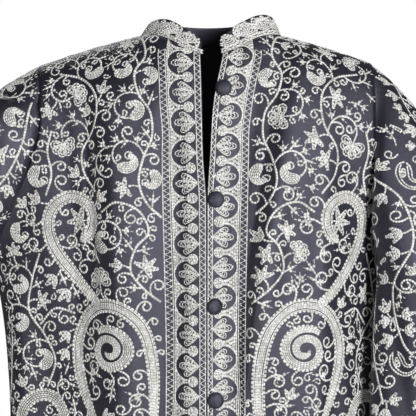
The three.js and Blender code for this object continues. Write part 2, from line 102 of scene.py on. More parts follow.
sleeveRings = {
    "left": table(
        ringNames,
        (-219, -40, -265, -261, -3, 57, 0), (-238, -51, -267, -264, -4, 56, 0),
        (-262, -67, -270, -268, -6, 54, 0), (-292, -90, -274, -273, -8, 52, 0),
        (-324, -119, -281, -281, -10, 50, 0), (-358, -154, -292, -293, -12, 49, 0),
        (-393, -191, -309, -311, -15, 47, 0), (-430, -230, -334, -336, -18, 46, 0),
        (-468, -270, -368, -369, -22, 45, 0), (-506, -311, -408, -408, -26, 44, 0),
        (-544, -352, -450, -447, -30, 43, 0), (-582, -393, -492, -486, -34, 42, 0),
        (-618, -432, -533, -524, -38, 41, 0)),
    "right": table(
        ringNames,
        (201, -38, 206, -243, -5, 57, 12), (219, -55, 210, -249, -12, 59, 24),
        (246, -86, 210, -259, -21, 58, 28), (277, -124, 205, -274, -31, 55, 24),
        (304, -170, 198, -295, -41, 51, 15), (322, -222, 192, -322, -48, 48, 8),
        (331, -280, 189, -355, -53, 45, 3), (333, -338, 187, -393, -57, 43, 0),
        (331, -396, 185, -435, -61, 42, 0), (326, -453, 184, -480, -66, 41, 0),
        (319, -510, 182, -527, -71, 40, 0), (311, -565, 181, -575, -77, 39, 0),
        (302, -618, 180, -622, -83, 38, 0)),
}
sleeveFolds = {
    "left": table(
        "angle rise width start peak end",
        (52, 6, 20, 0, 3, 8), (80, -7, 17, 0, 3, 9), (250, -5, 26, 1, 4, 10)),
    "right": table(
        "angle rise width start peak end",
        (70, -6, 20, 1, 5, 11), (112, 5, 22, 1, 5, 12), (270, -5, 26, 1, 4, 10)),
}


def readTable(rows, column, at, key="drop"):
    keys = np.array([row[key] for row in rows], float)
    values = np.array([row[column] for row in rows], float)
    slopes = np.gradient(values)
    slopes[1:-1] = (values[2:] - values[:-2]) / (keys[2:] - keys[:-2])
    slopes[0] = (values[1] - values[0]) / (keys[1] - keys[0])
    slopes[-1] = (values[-1] - values[-2]) / (keys[-1] - keys[-2])
    k = np.clip(np.searchsorted(keys, at, side="left") - 1, 0, len(keys) - 2)
    span = keys[k + 1] - keys[k]
    t = np.clip((at - keys[k]) / span, 0, 1)
    lean = t * (1 - t) * span * (slopes[k] * (1 - t) - slopes[k + 1] * t)
    return values[k] + (values[k + 1] - values[k]) * t * t * (3 - 2 * t) + lean


def mix(a, b, t):
    return a + (b - a) * t


def smooth(value, low, high):
    t = np.clip((value - low) / (high - low), 0, 1)
    return t * t * (3 - 2 * t)


def runAlong(line):  # how far each point of a line lies from its start
    return np.concatenate([[0], np.cumsum(np.linalg.norm(np.diff(line, axis=0), axis=1))])


def lengthOf(line):
    return np.linalg.norm(np.diff(line, axis=0), axis=1).sum()


def spaced(line, count):  # points evenly spaced along a line
    run = runAlong(line)
    want = np.linspace(0, run[-1], count + 1)
    return np.stack([np.interp(want, run, line[:, k]) for k in range(line.shape[1])], axis=1)


def foldRise(face, x, drop):
    return sum(f["rise"] * smooth(drop, f["start"], f["full"])
               * np.exp(-(((x - f["x"]) / f["width"]) ** 2)) for f in folds[face])


def sideEnd(side, face, row):
    s = shoulders[side]
    if row > underarmRow:
        drop = mix(s["underDrop"], form["hemDrop"], (row - underarmRow) / form["skirtRows"])
        return np.array([readTable(sections, side, drop), form["underarmY"], -drop])
    turn = rightAngle * (row - form["shoulderRows"]) / form["armholeRows"]
    x = mix(s["chestX"], s["underX"], math.sin(turn) ** s["flare"])
    y = mix(form["underarmY"], form[face + "Armhole"], math.cos(turn))
    return np.array([x, y, -mix(form["chestDrop"], s["underDrop"], math.sin(turn))])


def middleDrop(side, row):
    under = shoulders[side]["underDrop"]
    if row <= underarmRow:
        return mix(form["chestDrop"], under, (row - form["shoulderRows"]) / form["armholeRows"])
    return mix(under, form["hemDrop"], (row - underarmRow) / form["skirtRows"])


def halfSection(side, face, row, fromX, levelDrop):
    s, end = shoulders[side], sideEnd(side, face, row)
    outward = -1 if face == "front" else 1
    reach = end[0] - form["middleX"]
    start = math.asin((fromX - form["middleX"]) / reach)
    sine = np.sin(np.linspace(start, rightAngle, 97))
    out = np.minimum(np.abs(sine), 1)
    x = form["middleX"] + reach * sine
    drop = mix(levelDrop, -end[2], out ** form["dip"])
    opening = smooth(drop, form["chestDrop"] + form["easeAbove"], s["underDrop"] + form["easeBelow"])
    closedY = mix(form[face + "Armhole"], form["underarmY"], opening)
    middleY = outward * readTable(sections, face, drop)
    level = mix(closedY, middleY, (1 - out ** s["bow"]) ** s["round"])
    turned = (end[1] - closedY) * out ** form["turn"]
    rise = foldRise(face, x, drop) * (1 - out ** form["foldFade"])
    return np.stack([x, level + turned + outward * rise, -drop], axis=1)


def neckPoint(side, face, angle):
    sign = -1 if side == "left" else 1
    reach = -form["neckFront"] if face == "front" else form["neckBack"]
    sine = math.sin(angle)
    return np.array([sign * form["neckHalfWidth"] * math.cos(angle), form["neckY"] + reach * sine,
                     form["neckRise"] - form[face + "NeckDrop"] * sine ** form[face + "NeckPower"]])


def shoulderSeam(side):
    s = shoulders[side]
    tip = np.array([s["tipX"], 0, -s["tipDrop"]])
    t = np.linspace(0, 1, form["shoulderColumns"] + 1)[:, None]
    line = mix(neckPoint(side, "front", 0), tip, t)
    line[:, 2] += form["shoulderBow"] * np.sin(math.pi * t[:, 0])
    return line


def shoulderRow(top, chest, row):
    turn = rightAngle * row / form["shoulderRows"]
    across = mix(top[:, :2], chest[:, :2], math.sin(turn))
    down = mix(top[:, 2:], chest[:, 2:], 1 - math.cos(turn))
    return np.hstack([across, down])


def relaxed(line, passes):
    for _ in range(passes):
        line[1:-1] = mix(line[1:-1], mix(line[:-2], line[2:], 0.5), 0.5)
    return line


def softened(grid):
    low, high = underarmRow - form["softRows"], underarmRow + form["softRows"] + 1
    for _ in range(form["softPasses"]):
        around = mix(grid[low - 1:high - 1, 1:-1], grid[low + 1:high + 1, 1:-1], 0.5)
        grid[low:high, 1:-1] = mix(grid[low:high, 1:-1], around, 0.5)
    return grid


def frontGrid(side):
    edgeAngle = math.acos(abs(frontEdges[0][side]) / form["neckHalfWidth"])
    columns = form["neckColumns"]
    top = [neckPoint(side, "front", edgeAngle * (1 - i / columns)) for i in range(columns)]
    top = np.vstack([top, shoulderSeam(side)])
    rows = []
    for row in range(form["shoulderRows"], bodyRows + 1):
        drop = middleDrop(side, row)
        edgeX = float(readTable(frontEdges, side, drop))
        rows.append(spaced(halfSection(side, "front", row, edgeX, drop), frontColumns))
    yoke = []
    for row in range(form["shoulderRows"]):
        line = shoulderRow(top, rows[0], row)
        shift = readTable(frontEdges, side, -line[0, 2]) - line[0, 0]
        if row > 0:
            line[:, 0] += shift * (1 - np.arange(len(line)) / frontColumns) ** form["neckFade"]
        yoke.append(relaxed(line, row))
    return softened(np.array(yoke + rows))


def backGrid():
    columns = form["neckColumns"]
    top = list(shoulderSeam("left")[::-1])
    for i in range(1, 2 * columns):
        angle = rightAngle * i / columns
        side = "left" if i <= columns else "right"
        top.append(neckPoint(side, "back", angle if i <= columns else math.pi - angle))
    top = np.vstack([top, shoulderSeam("right")])
    rows = []
    for row in range(form["shoulderRows"], bodyRows + 1):
        drop = mix(middleDrop("left", row), middleDrop("right", row), 0.5)
        left = halfSection("left", "back", row, form["middleX"], drop)[::-1]
        right = halfSection("right", "back", row, form["middleX"], drop)
        rows.append(spaced(np.vstack([left, right[1:]]), 2 * frontColumns))
    yoke = [relaxed(shoulderRow(top, rows[0], row), row) for row in range(form["shoulderRows"])]
    return softened(np.array(yoke + rows))


def collarGrid(left, back, right):
    columns, wide = form["neckColumns"], form["shoulderColumns"]
    base = np.vstack([left[0, :columns], back[0, wide:wide + 2 * columns + 1],
                      right[0, :columns][::-1]])
    turn = np.arange(len(base)) / columns
    cut = np.ones(len(base))
    cut[[0, -1]] = form["collarCorner"]
    height = readTable(collarStations, "height", turn, "turn") * cut
    lean = readTable(collarStations, "lean", turn, "turn")
    inward = np.stack([-base[:, 0], form["neckY"] - base[:, 1]], axis=1)
    inward *= (lean / np.linalg.norm(inward, axis=1))[:, None]
    grid = []
    for row in range(form["collarRows"], -1, -1):
        up = row / form["collarRows"]
        line = base.copy()
        line[:, :2] += inward * up
        line[:, 2] += height * up
        grid.append(line)
    return np.array(grid)


def sleeveGrid(armhole, side):
    count = len(armhole)
    degrees = 360 * np.arange(count) / count
    angle = np.radians(degrees)
    grid = [armhole]
    for k, ring in enumerate(sleeveRings[side]):
        over = np.array([ring["overX"], ring["y"], ring["overZ"]], float)
        under = np.array([ring["underX"], ring["y"], ring["underZ"]], float)
        points = mix(over, under, (1 - np.cos(angle))[:, None] / 2)
        points[:, 1] -= ring["half"] * np.sin(angle)
        front = np.maximum(np.sin(angle), 0) * (1 - np.cos(angle))
        points[:, 0] -= ring["lap"] * form["lapShape"] * front
        rise = sum(f["rise"] * smooth(k + 1, f["start"], f["peak"])
                   * (1 - smooth(k + 1, f["peak"], f["end"]))
                   * np.exp(-(((degrees - f["angle"]) / f["width"]) ** 2))
                   for f in sleeveFolds[side])
        out = points - mix(over, under, 0.5)
        grid.append(points + out / np.linalg.norm(out, axis=1)[:, None] * rise[:, None])
    return np.array(grid)


def armholeLoop(front, back, backColumn):
    down = front[:underarmRow + 1, -1]
    return np.vstack([down, back[underarmRow - 1:0:-1, backColumn]])


# Fine surfaces: a smooth curve through every row and column, broken at the corners of the cut

def splineWeights(count, at, closed=False, breaks=()):
    if breaks:
        weights = np.zeros((len(at), count))
        stops = [0, *breaks, count if closed else count - 1]
        for low, high in zip(stops, stops[1:]):
            inside = np.nonzero((at >= low) & (at <= high))[0]
            block = splineWeights(high - low + 1, at[inside] - low)
            for k in range(high - low + 1):
                weights[inside, (low + k) % count] = 0
            for k in range(high - low + 1):
                weights[inside, (low + k) % count] += block[:, k]
        return weights
    eye = np.eye(count)
    second = np.roll(eye, 1, axis=1) - 2 * eye + np.roll(eye, -1, axis=1)
    matrix = 4 * eye + np.roll(eye, 1, axis=1) + np.roll(eye, -1, axis=1)
    if not closed:
        matrix[[0, -1]] = eye[[0, -1]]
        second[[0, -1]] = 0
    bend = np.linalg.solve(matrix, 6 * second)
    k = np.floor(at).astype(int)
    if not closed:
        k = np.minimum(k, count - 2)
    f = (at - k)[:, None]
    after = (k + 1) % count
    k = k % count
    return ((1 - f) * eye[k] + f * eye[after]
            + ((1 - f) ** 3 - (1 - f)) / 6 * bend[k] + (f ** 3 - f) / 6 * bend[after])


def steps(pairs):  # sample places along a grid direction: (intervals, samples in each)
    places, start = [0.0], 0
    for intervals, fine in pairs:
        for k in range(intervals * fine):
            places.append(start + (k + 1) / fine)
        start += intervals
    return np.array(places)


# Columns where the neckline meets the shoulder seams, on each kind of panel
neckCorners = {
    "front": (form["neckColumns"],),
    "back": (form["shoulderColumns"], form["shoulderColumns"] + 2 * form["neckColumns"]),
    "collar": (form["neckColumns"], 3 * form["neckColumns"]),
}


def refined(grid, rowsAt, columnsAt, kind):
    rowCount, columnCount = grid.shape[:2]
    closed = kind == "sleeve"
    plainRows = splineWeights(rowCount, rowsAt)
    plainColumns = splineWeights(columnCount, columnsAt, closed)

    def surface(rowWeights, columnWeights):
        return np.einsum("ai,ijk,bj->abk", rowWeights, grid, columnWeights)

    fine = surface(plainRows, plainColumns)
    if kind == "sleeve":
        seam = surface(plainRows, splineWeights(columnCount, columnsAt, True, (underarmRow,)))
        return mix(fine, seam, 1 - smooth(rowsAt, 0, 1)[:, None, None])
    neck = surface(plainRows, splineWeights(columnCount, columnsAt, False, neckCorners[kind]))
    if kind == "collar":
        return mix(fine, neck, smooth(rowsAt, 1, 2)[:, None, None])
    side = surface(splineWeights(rowCount, rowsAt, False, (underarmRow,)), plainColumns)
    nearEnd = smooth(columnsAt, frontColumns - 2, frontColumns)
    if kind == "back":
        nearEnd = smooth(np.abs(columnsAt - frontColumns), frontColumns - 2, frontColumns)
    return (fine + (neck - fine) * (1 - smooth(rowsAt, 0, 3))[:, None, None]
            + (side - fine) * nearEnd[None, :, None])


unrolling = {"passes": 3000, "pull": 0.12}


def unrolled(grid, fixedColumn, levelRow, fixedFrom):
    # Lays a curved grid out flat, so that its distances stay those of the cut cloth
    rowRun = np.linalg.norm(np.diff(grid, axis=1), axis=2)
    across = np.hstack([np.zeros((len(grid), 1)), np.cumsum(rowRun, axis=1)])
    across -= across[:, fixedColumn:fixedColumn + 1]
    columnRun = np.linalg.norm(np.diff(grid, axis=0), axis=2)
    along = np.vstack([np.zeros((1, grid.shape[1])), np.cumsum(columnRun, axis=0)])
    along += along[levelRow, fixedColumn] - along[levelRow]  # a sleeve is level at its cuff
    flat = np.stack([across, along], axis=2)
    offsets = ((0, 1), (1, 0), (1, 1), (1, -1))
    pairs = []
    for down, right in offsets:
        a = (slice(0, len(grid) - down), slice(max(-right, 0), grid.shape[1] - max(right, 0)))
        b = (slice(down, len(grid)), slice(max(right, 0), grid.shape[1] - max(-right, 0)))
        pairs.append((a, b, np.linalg.norm(grid[b] - grid[a], axis=2)))
    pinned = flat[fixedFrom:, fixedColumn].copy()
    for _ in range(unrolling["passes"]):
        move = np.zeros_like(flat)
        for a, b, length in pairs:
            gap = flat[b] - flat[a]
            now = np.linalg.norm(gap, axis=2)
            pull = gap * ((now - length) / np.maximum(now, 1e-6))[..., None] * unrolling["pull"]
            move[a] += pull
            move[b] -= pull
        flat += move
        flat[fixedFrom:, fixedColumn] = pinned
    return flat


def surfaceNormals(points, closed, flip):
    if closed:
        across = np.roll(points, -1, axis=1) - np.roll(points, 1, axis=1)
    else:
        across = np.gradient(points, axis=1)
    down = np.gradient(points, axis=0)
    normal = np.cross(across, down)
    normal /= np.maximum(np.linalg.norm(normal, axis=2), 1e-9)[..., None]
    return -normal if flip else normal


# Folds in the flat cut, millimetres: from one end to the other, deep (-) or raised (+)
creaseNames = "u0 v0 u1 v1 rise width bow"
creases = {
    "front_left": table(
        creaseNames, (106, 0, 98, 660, 13, 27, 5), (46, 10, 44, 440, -8, 15, 3),
        (170, 50, 162, 400, -10, 20, 6), (238, 250, 244, 690, 9, 20, 6),
        (146, 360, 150, 660, -4, 14, -6), (60, 380, 48, 680, 3.5, 14, 5),
        (134, 8, 92, 62, -3, 9, 4), (70, -8, 74, 90, -3.4, 9, 4),
        (146, 30, 136, 320, -7, 10, 5), (30, 40, 33, 380, -3.4, 9, 2)),
    "front_right": table(
        creaseNames, (102, 0, 32, 580, 15, 21, 5), (58, 20, 22, 400, -8, 13, 4),
        (120, 6, 134, 620, 14, 29, -4), (206, 240, 208, 680, -8, 24, 5),
        (84, 400, 72, 680, -4, 15, 6), (128, 420, 120, 690, 4.5, 16, -6),
        (150, 2, 112, 60, -3, 9, -4), (86, -6, 92, 70, -3.4, 9, 4),
        (80, 30, 26, 470, -8, 9, 3)),
    "back": table(
        creaseNames, (-150, 40, -120, 290, -5, 17, 8), (-64, 200, -78, 660, -5, 16, 8),
        (-22, 60, -8, 330, 4.4, 20, -6), (44, 240, 36, 640, 5, 17, -7),
        (120, 60, 148, 310, -5.4, 16, -7), (96, 340, 114, 690, -5, 15, 6),
        (-190, 320, -204, 670, 5, 17, 6), (206, 300, 214, 600, -4.4, 15, -5),
        (-112, 330, -120, 670, 4.4, 15, -5)),
    "collar": [],
    "sleeve_left": table(
        creaseNames, (100, 18, -10, 74, -6, 9, -8), (84, 34, -30, 92, 5, 10, -8),
        (30, 70, 146, 180, 16, 34, 0), (34, 120, 60, 300, -4, 12, 10), (-60, 60, -96, 260, -4.4, 13, 8),
        (120, 180, 96, 420, 4.4, 13, -8), (-20, 300, -44, 520, -4, 13, 6)),
    "sleeve_right": table(
        creaseNames, (24, 40, 52, 260, -4.4, 12, 10), (92, 90, 78, 350, 5, 15, -8),
        (0, 260, 22, 560, 4, 13, 6), (124, 250, 112, 520, -4.6, 13, -6),
        (-80, 90, -66, 380, -4.4, 14, 8), (60, 360, 40, 620, -4.2, 13, 6)),
}
creaseFade = {"in": (-0.12, 0.3), "out": (0.65, 1.12)}  # as shares of a crease's length


def creaseRise(name, flat):
    rise = np.zeros(flat.shape[:2])
    for c in creases[name]:
        start, end = np.array([c["u0"], c["v0"]]), np.array([c["u1"], c["v1"]])
        line = end - start
        length = np.linalg.norm(line)
        line = line / length
        beside = np.array([-line[1], line[0]])
        along = (flat - start) @ line / length
        off = (flat - start) @ beside - c["bow"] * np.sin(math.pi * np.clip(along, 0, 1))
        fade = smooth(along, *creaseFade["in"]) * (1 - smooth(along, *creaseFade["out"]))
        rise += c["rise"] * fade * np.exp(-((off / c["width"]) ** 2))
    return rise


cloth = {}


def addCloth(name, kind, grid, rowsAt, columnsAt, flip, fixedColumn, levelRow, fixedFrom):
    coarse = grid
    closed = kind == "sleeve"
    if closed:  # cut open along the seam under the arm
        order = [(underarmRow + k) % grid.shape[1] for k in range(grid.shape[1] + 1)]
        coarse = grid[:, order]
    flatGrid = unrolled(coarse, fixedColumn, levelRow, fixedFrom)
    flatGrid = np.dstack([flatGrid, np.zeros(flatGrid.shape[:2])])
    fine = refined(grid, rowsAt, columnsAt, kind)
    if closed:
        opened = splineWeights(flatGrid.shape[1], np.append(columnsAt, columnsAt[-1] + columnsAt[1]))
        flat = np.einsum("ai,ijk,bj->abk", splineWeights(len(flatGrid), rowsAt), flatGrid, opened)
        half = len(columnsAt) // 2
        fine = np.roll(fine, -half, axis=1)
    else:
        flat = refined(flatGrid, rowsAt, columnsAt, kind)
    flat = flat[..., :2]
    normals = surfaceNormals(fine, closed, flip)
    if closed:
        fine = np.concatenate([fine, fine[:, :1]], axis=1)
        normals = np.concatenate([normals, normals[:, :1]], axis=1)
    fine = fine + normals * creaseRise(name, flat)[..., None]
    normals = surfaceNormals(fine, False, flip)
    if closed:
        joined = normals[:, 0] + normals[:, -1]
        joined /= np.linalg.norm(joined, axis=1)[:, None]
        normals[:, 0] = normals[:, -1] = joined
        fine[:, -1] = fine[:, 0]
    cloth[name] = {"points": fine, "normals": normals, "flat": flat, "closed": closed, "flip": flip}


frontLeft, frontRight, backPanel = frontGrid("left"), frontGrid("right"), backGrid()
collarBand = collarGrid(frontLeft, backPanel, frontRight)
tubeLeft = sleeveGrid(armholeLoop(frontLeft, backPanel, 0), "left")
tubeRight = sleeveGrid(armholeLoop(frontRight, backPanel, -1), "right")
# Places read along each direction: whole intervals, and how finely each is cut
bodyAt = steps([(form["shoulderRows"], 3), (form["armholeRows"], 3), (form["skirtRows"], 6)])
frontAt, backAt = steps([(frontColumns, 3)]), steps([(2 * frontColumns, 3)])
collarUpAt, collarAt = steps([(form["collarRows"], 4)]), steps([(4 * form["neckColumns"], 3)])
sleeveAt = steps([(2 * underarmRow, 3)])[:-1]
sleeveDownAt = steps([(1, 4), (len(sleeveRings["left"]) - 1, 6)])
# Each cut is held at a column, from a row down, and lies level at the chest, the top or the cuff
chestRow, collarBack = form["shoulderRows"], 2 * form["neckColumns"]
addCloth("front_left", "front", frontLeft, bodyAt, frontAt, False, 0, chestRow, chestRow)
addCloth("front_right", "front", frontRight, bodyAt, frontAt, True, 0, chestRow, chestRow)
addCloth("back", "back", backPanel, bodyAt, backAt, False, frontColumns, chestRow, chestRow)
addCloth("collar", "collar", collarBand, collarUpAt, collarAt, False, collarBack, 0, 0)
addCloth("sleeve_left", "sleeve", tubeLeft, sleeveDownAt, sleeveAt, True, underarmRow, -1, 0)
addCloth("sleeve_right", "sleeve", tubeRight, sleeveDownAt, sleeveAt, False, underarmRow, -1, 0)
print("cloth surfaces worked out")


# Finishes

def newMaterial(name, roughness, sheen, sheenTint, specular=0.2):
    made = bpy.data.materials.new(name)
    made.use_nodes = True
    shader = made.node_tree.nodes["Principled BSDF"]
    shader.inputs["Roughness"].default_value = roughness
    shader.inputs["Sheen Weight"].default_value = sheen
    shader.inputs["Sheen Roughness"].default_value = 0.45
    shader.inputs["Sheen Tint"].default_value = (*sheenTint, 1)
    shader.inputs["Specular IOR Level"].default_value = specular
    return made, made.node_tree, shader


def addNode(tree, kind, inputs=None, **settings):
    node = tree.nodes.new(kind)
    for key, value in settings.items():
        setattr(node, key, value)
    for key, value in (inputs or {}).items():
        if isinstance(value, bpy.types.NodeSocket):
            tree.links.new(value, node.inputs[key])
        else:
            node.inputs[key].default_value = value
    return node


def reckoned(tree, operation, *values):
    return addNode(tree, "ShaderNodeMath", dict(enumerate(values)), operation=operation).outputs[0]


def toneRamp(tree, value, z):  # from the dark tone to the light one, between two levels
    ramp = addNode(tree, "ShaderNodeValToRGB", {"Fac": value})
    for stop, level, tone in zip(ramp.color_ramp.elements, z["levels"], (z["dark"], z["light"])):
        stop.position = level
        stop.color = (*tone, 1)
    return ramp.outputs["Color"]


silkSizes = {
    "dark": (0.001, 0.001, 0.002), "light": (0.013, 0.0128, 0.025), "levels": (0.38, 0.63),
    "slub": (0.05, 0.5), "warp": (1.3, 0.02), "cloud": (0.02, 0.02), "weave": 0.5,
    "slubTone": 0.4, "warpTone": 0.2, "cloudTone": 0.4, "slubRelief": 1.6,
    "reliefStrength": 0.55, "reliefDepth": 0.0003,
    "roughness": 0.46, "sheen": 0.02, "sheenTint": (0.75, 0.78, 1),
    "specular": 1, "glossTint": (0.8, 0.8, 1),
}


def silkMaterial(name, useCut):
    # Slub silk: uneven crosswise yarns, fine lengthwise ones and a plain weave
    z = silkSizes
    made, tree, shader = newMaterial(name, z["roughness"], z["sheen"], z["sheenTint"], z["specular"])
    shader.inputs["Specular Tint"].default_value = (*z["glossTint"], 1)
    if useCut:
        place = addNode(tree, "ShaderNodeUVMap", uv_map="cut").outputs["UV"]
    else:
        place = addNode(tree, "ShaderNodeTexCoord").outputs["Object"]
        place = addNode(tree, "ShaderNodeMapping",
                        {"Vector": place, "Scale": (1000, 1000, 1000),
                         "Rotation": (rightAngle, 0, 0)}).outputs["Vector"]

    def streaks(scale, detail):
        stretched = addNode(tree, "ShaderNodeVectorMath", {0: place, 1: (*scale, 1)},
                            operation="MULTIPLY").outputs["Vector"]
        return addNode(tree, "ShaderNodeTexNoise",
                       {"Vector": stretched, "Scale": 1, "Detail": detail,
                        "Roughness": 0.6}).outputs["Fac"]

    slub, warp, cloud = streaks(z["slub"], 3), streaks(z["warp"], 2), streaks(z["cloud"], 3)
    tone = reckoned(tree, "MULTIPLY", slub, z["slubTone"])
    tone = reckoned(tree, "MULTIPLY_ADD", warp, z["warpTone"], tone)
    tone = reckoned(tree, "MULTIPLY_ADD", cloud, z["cloudTone"], tone)
    tree.links.new(toneRamp(tree, tone, z), shader.inputs["Base Color"])
    waves = []
    for direction in ("X", "Y"):
        waves.append(addNode(tree, "ShaderNodeTexWave",
                             {"Vector": place, "Scale": z["weave"], "Distortion": 1.2,
                              "Detail": 1, "Detail Scale": 0.4},
                             bands_direction=direction).outputs["Fac"])
    weave = reckoned(tree, "MULTIPLY", *waves)
    relief = reckoned(tree, "MULTIPLY_ADD", slub, z["slubRelief"], weave)
    bump = addNode(tree, "ShaderNodeBump", {"Height": relief, "Strength": z["reliefStrength"],
                                            "Distance": z["reliefDepth"]})
    tree.links.new(bump.outputs["Normal"], shader.inputs["Normal"])
    return made


silk = silkMaterial("slubSilk", True)
buttonSilk = silkMaterial("buttonSilk", False)

clothSizes = {"wall": 1.8}


def clothPiece(name):
    c = cloth[name]
    points, flat = c["points"] * mm, c["flat"]
    rows, columns = points.shape[:2]
    across = columns - 1 if c["closed"] else columns
    verts = points[:, :across].reshape(-1, 3)
    faces, cuts = [], []
    for j in range(rows - 1):
        for i in range(columns - 1):
            corners = [(j, i), (j, i + 1), (j + 1, i + 1), (j + 1, i)]
            if c["flip"]:
                corners.reverse()
            faces.append([row * across + column % across for row, column in corners])
            cuts.extend(flat[row, column] for row, column in corners)
    mesh = bpy.data.meshes.new(name)
    mesh.from_pydata(verts.tolist(), [], faces)
    layer = mesh.uv_layers.new(name="cut")
    layer.uv.foreach_set("vector", np.array(cuts, np.float32).ravel())
    mesh.shade_smooth()
    mesh.materials.append(silk)
    piece = bpy.data.objects.new("cloth_" + name, mesh)
    bpy.context.scene.collection.objects.link(piece)
    wall = piece.modifiers.new("wall", "SOLIDIFY")
    wall.thickness = clothSizes["wall"] * mm
    wall.offset = -1
    wall.use_even_offset = False
    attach(piece, "root")
    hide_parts(name)


for name in cloth:
    clothPiece(name)
print("cloth panels made")

# Embroidery: rows of chain stitch, drawn as lines on the flat cut in millimetres, then laid on the
# cloth. A motif grows along +x from its foot at the origin.
stitchSizes = {
    "length": 3.4, "width": 1.18, "stem": 1.6, "arc": 1.25, "leaf": (0.45, 1.35),
    "seed": 7, "lift": -0.1, "gap": 1.1, "shortRow": 12, "closedWithin": 0.6,
}


def turned(lines, at, angle=0, size=1, mirror=1):
    c, s = math.cos(angle), math.sin(angle)
    spin = np.array([[c, s], [-s, c]])
    return [(np.asarray(line, float) * (size, size * mirror)) @ spin + at for line in lines]


def curveThrough(points, gap=1.5):
    p = np.array(points, float)
    p = np.vstack([2 * p[0] - p[1], p, 2 * p[-1] - p[-2]])
    line = []
    for k in range(1, len(p) - 2):
        t = np.linspace(0, 1, 16, endpoint=False)[:, None]
        line.append(0.5 * (2 * p[k] + (p[k + 1] - p[k - 1]) * t
                           + (2 * p[k - 1] - 5 * p[k] + 4 * p[k + 1] - p[k + 2]) * t ** 2
                           + (3 * p[k] - p[k - 1] - 3 * p[k + 1] + p[k + 2]) * t ** 3))
    line = np.vstack([*line, p[-2:-1]])
    return spaced(line, max(2, round(lengthOf(line) / gap)))


def curled(length, turn, power=1.7, gap=1.2):  # a line whose curve tightens towards its end
    s = np.linspace(0, 1, max(6, round(length / gap)))
    heading = turn * s ** power
    step = length / (len(s) - 1)
    return np.stack([np.concatenate([[0], np.cumsum(np.cos(heading[:-1]) * step)]),
                     np.concatenate([[0], np.cumsum(np.sin(heading[:-1]) * step)])], axis=1)


def headings(line):
    way = np.gradient(line, axis=0)
    return way / np.maximum(np.linalg.norm(way, axis=1), 1e-9)[:, None]


def sideways(line):
    way = headings(line)
    return np.stack([-way[:, 1], way[:, 0]], axis=1)


def angleOf(way):
    return math.atan2(way[1], way[0])


def stroke(spine, halfWidth, rows):  # rows side by side, filling a band of changing width
    beside = sideways(spine)
    return [spine + beside * (halfWidth * k)[:, None] for k in np.linspace(-1, 1, rows)]


def ringed(outline, middle, rings):  # an outline filled by smaller copies of itself
    outline, middle = np.asarray(outline, float), np.asarray(middle, float)
    return [middle + (outline - middle) * (1 - k / rings) for k in range(rings)]


def petal(length, width, rings=1):
    t = np.linspace(0, 2 * math.pi, 19)
    outline = np.stack([length * (1 - np.cos(t)) / 2,
                        0.65 * width * np.sin(t) * np.sin(t / 2)], axis=1)
    return ringed(outline, (0.55 * length, 0), rings)


def disc(radius, rings):
    t = np.linspace(0, 2 * math.pi, 17)
    return ringed(radius * np.stack([np.cos(t), np.sin(t)], axis=1), (0, 0), rings)


def spiked(length, width):  # a lobe with a round foot and a pointed tip
    return [line * (-1, 1) + (length, 0) for line in petal(length, width, 2)]


def tulip(length):  # three pointed lobes on a rounded foot
    lines = spiked(length, 0.36 * length)
    for turn in (0.75, -0.75):
        lines += turned(spiked(length, 0.36 * length), (0, 0), turn, 0.82)
    return lines


def flower(radius, petals=6, spread=1.75):  # round petals about a middle, on a short stem
    middle = (0.42 * radius, 0)
    lines = [np.array([(0, 0), middle])]
    for turn in np.linspace(-spread, spread, petals):
        lines += turned(petal(0.62 * radius, 0.38 * radius, 2), middle, turn)
    return lines


def fan(radius, lobes=7, spread=1.25):  # a scalloped fan on a pointed foot
    t = np.linspace(-spread, spread, lobes * 6 + 1)
    lift = np.abs(np.sin(lobes * math.pi * (t + spread) / (2 * spread)))
    reach = radius * (0.85 + 0.15 * lift) * (0.72 + 0.28 * np.cos(t))
    outline = np.stack([reach * np.cos(t), reach * np.sin(t)], axis=1)
    outline = np.vstack([[0, 0], outline, [0, 0]])
    return ringed(outline, (0.62 * radius, 0), max(2, round(radius / 3.5)))


def maple(radius, points=5):  # pointed lobes about a middle
    middle = (0.4 * radius, 0)
    lines = [np.array([(0, 0), middle])]
    for turn in np.linspace(-1.9, 1.9, points):
        lines += turned(spiked(0.76 * radius, 0.27 * radius), middle, turn)
    return lines


def slimLeaf(length):  # a row of three points is a leaf: its stitches are widest in the middle
    return [np.array([[0, 0], [length / 2, 0], [length, 0]])]


def sprig(length=12, leaf=7, lean=0.72):  # slim leaves at the end of a stem
    lines = [np.array([[0, 0], [length, 0]])]
    for turn, size in ((-lean, 0.9), (0, 1.1), (lean, 0.9)):
        lines += turned(slimLeaf(leaf), (length - 1, 0), turn, size)
    return lines


def curl(length=38, turn=7.2):
    return [curled(length, turn)]


def sideShoots(line, places, lean):  # sprigs on one side of a line, slim leaves on the other
    ways = headings(line)
    lines = []
    for k, side in places:
        place = round(k * len(line))
        shoot = sprig(5, 8) if side < 0 else slimLeaf(9)
        lines += turned(shoot, line[place], angleOf(ways[place]) + side * lean)
    return lines


def leafyCurl(length=46, turn=7.0):
    line = curled(length, turn)
    return [line] + sideShoots(line, ((0.2, -1), (0.38, 1)), -0.9)


def commaPaisley(size=1):  # a thick body whose tail bends round into an eye
    spine = curled(30, turn=3.7, power=1.5, gap=1.3)
    t = np.linspace(0, 1, len(spine))
    half = np.interp(t, (0, 0.12, 0.34, 0.62, 0.85, 1), (1.2, 4.6, 5.6, 4.4, 2.6, 1.6))
    way = headings(spine)[-1]
    eye = turned(disc(3.6, 1), spine[-1] + 1.2 * way)
    return [line * size for line in stroke(spine, half, 6) + eye]


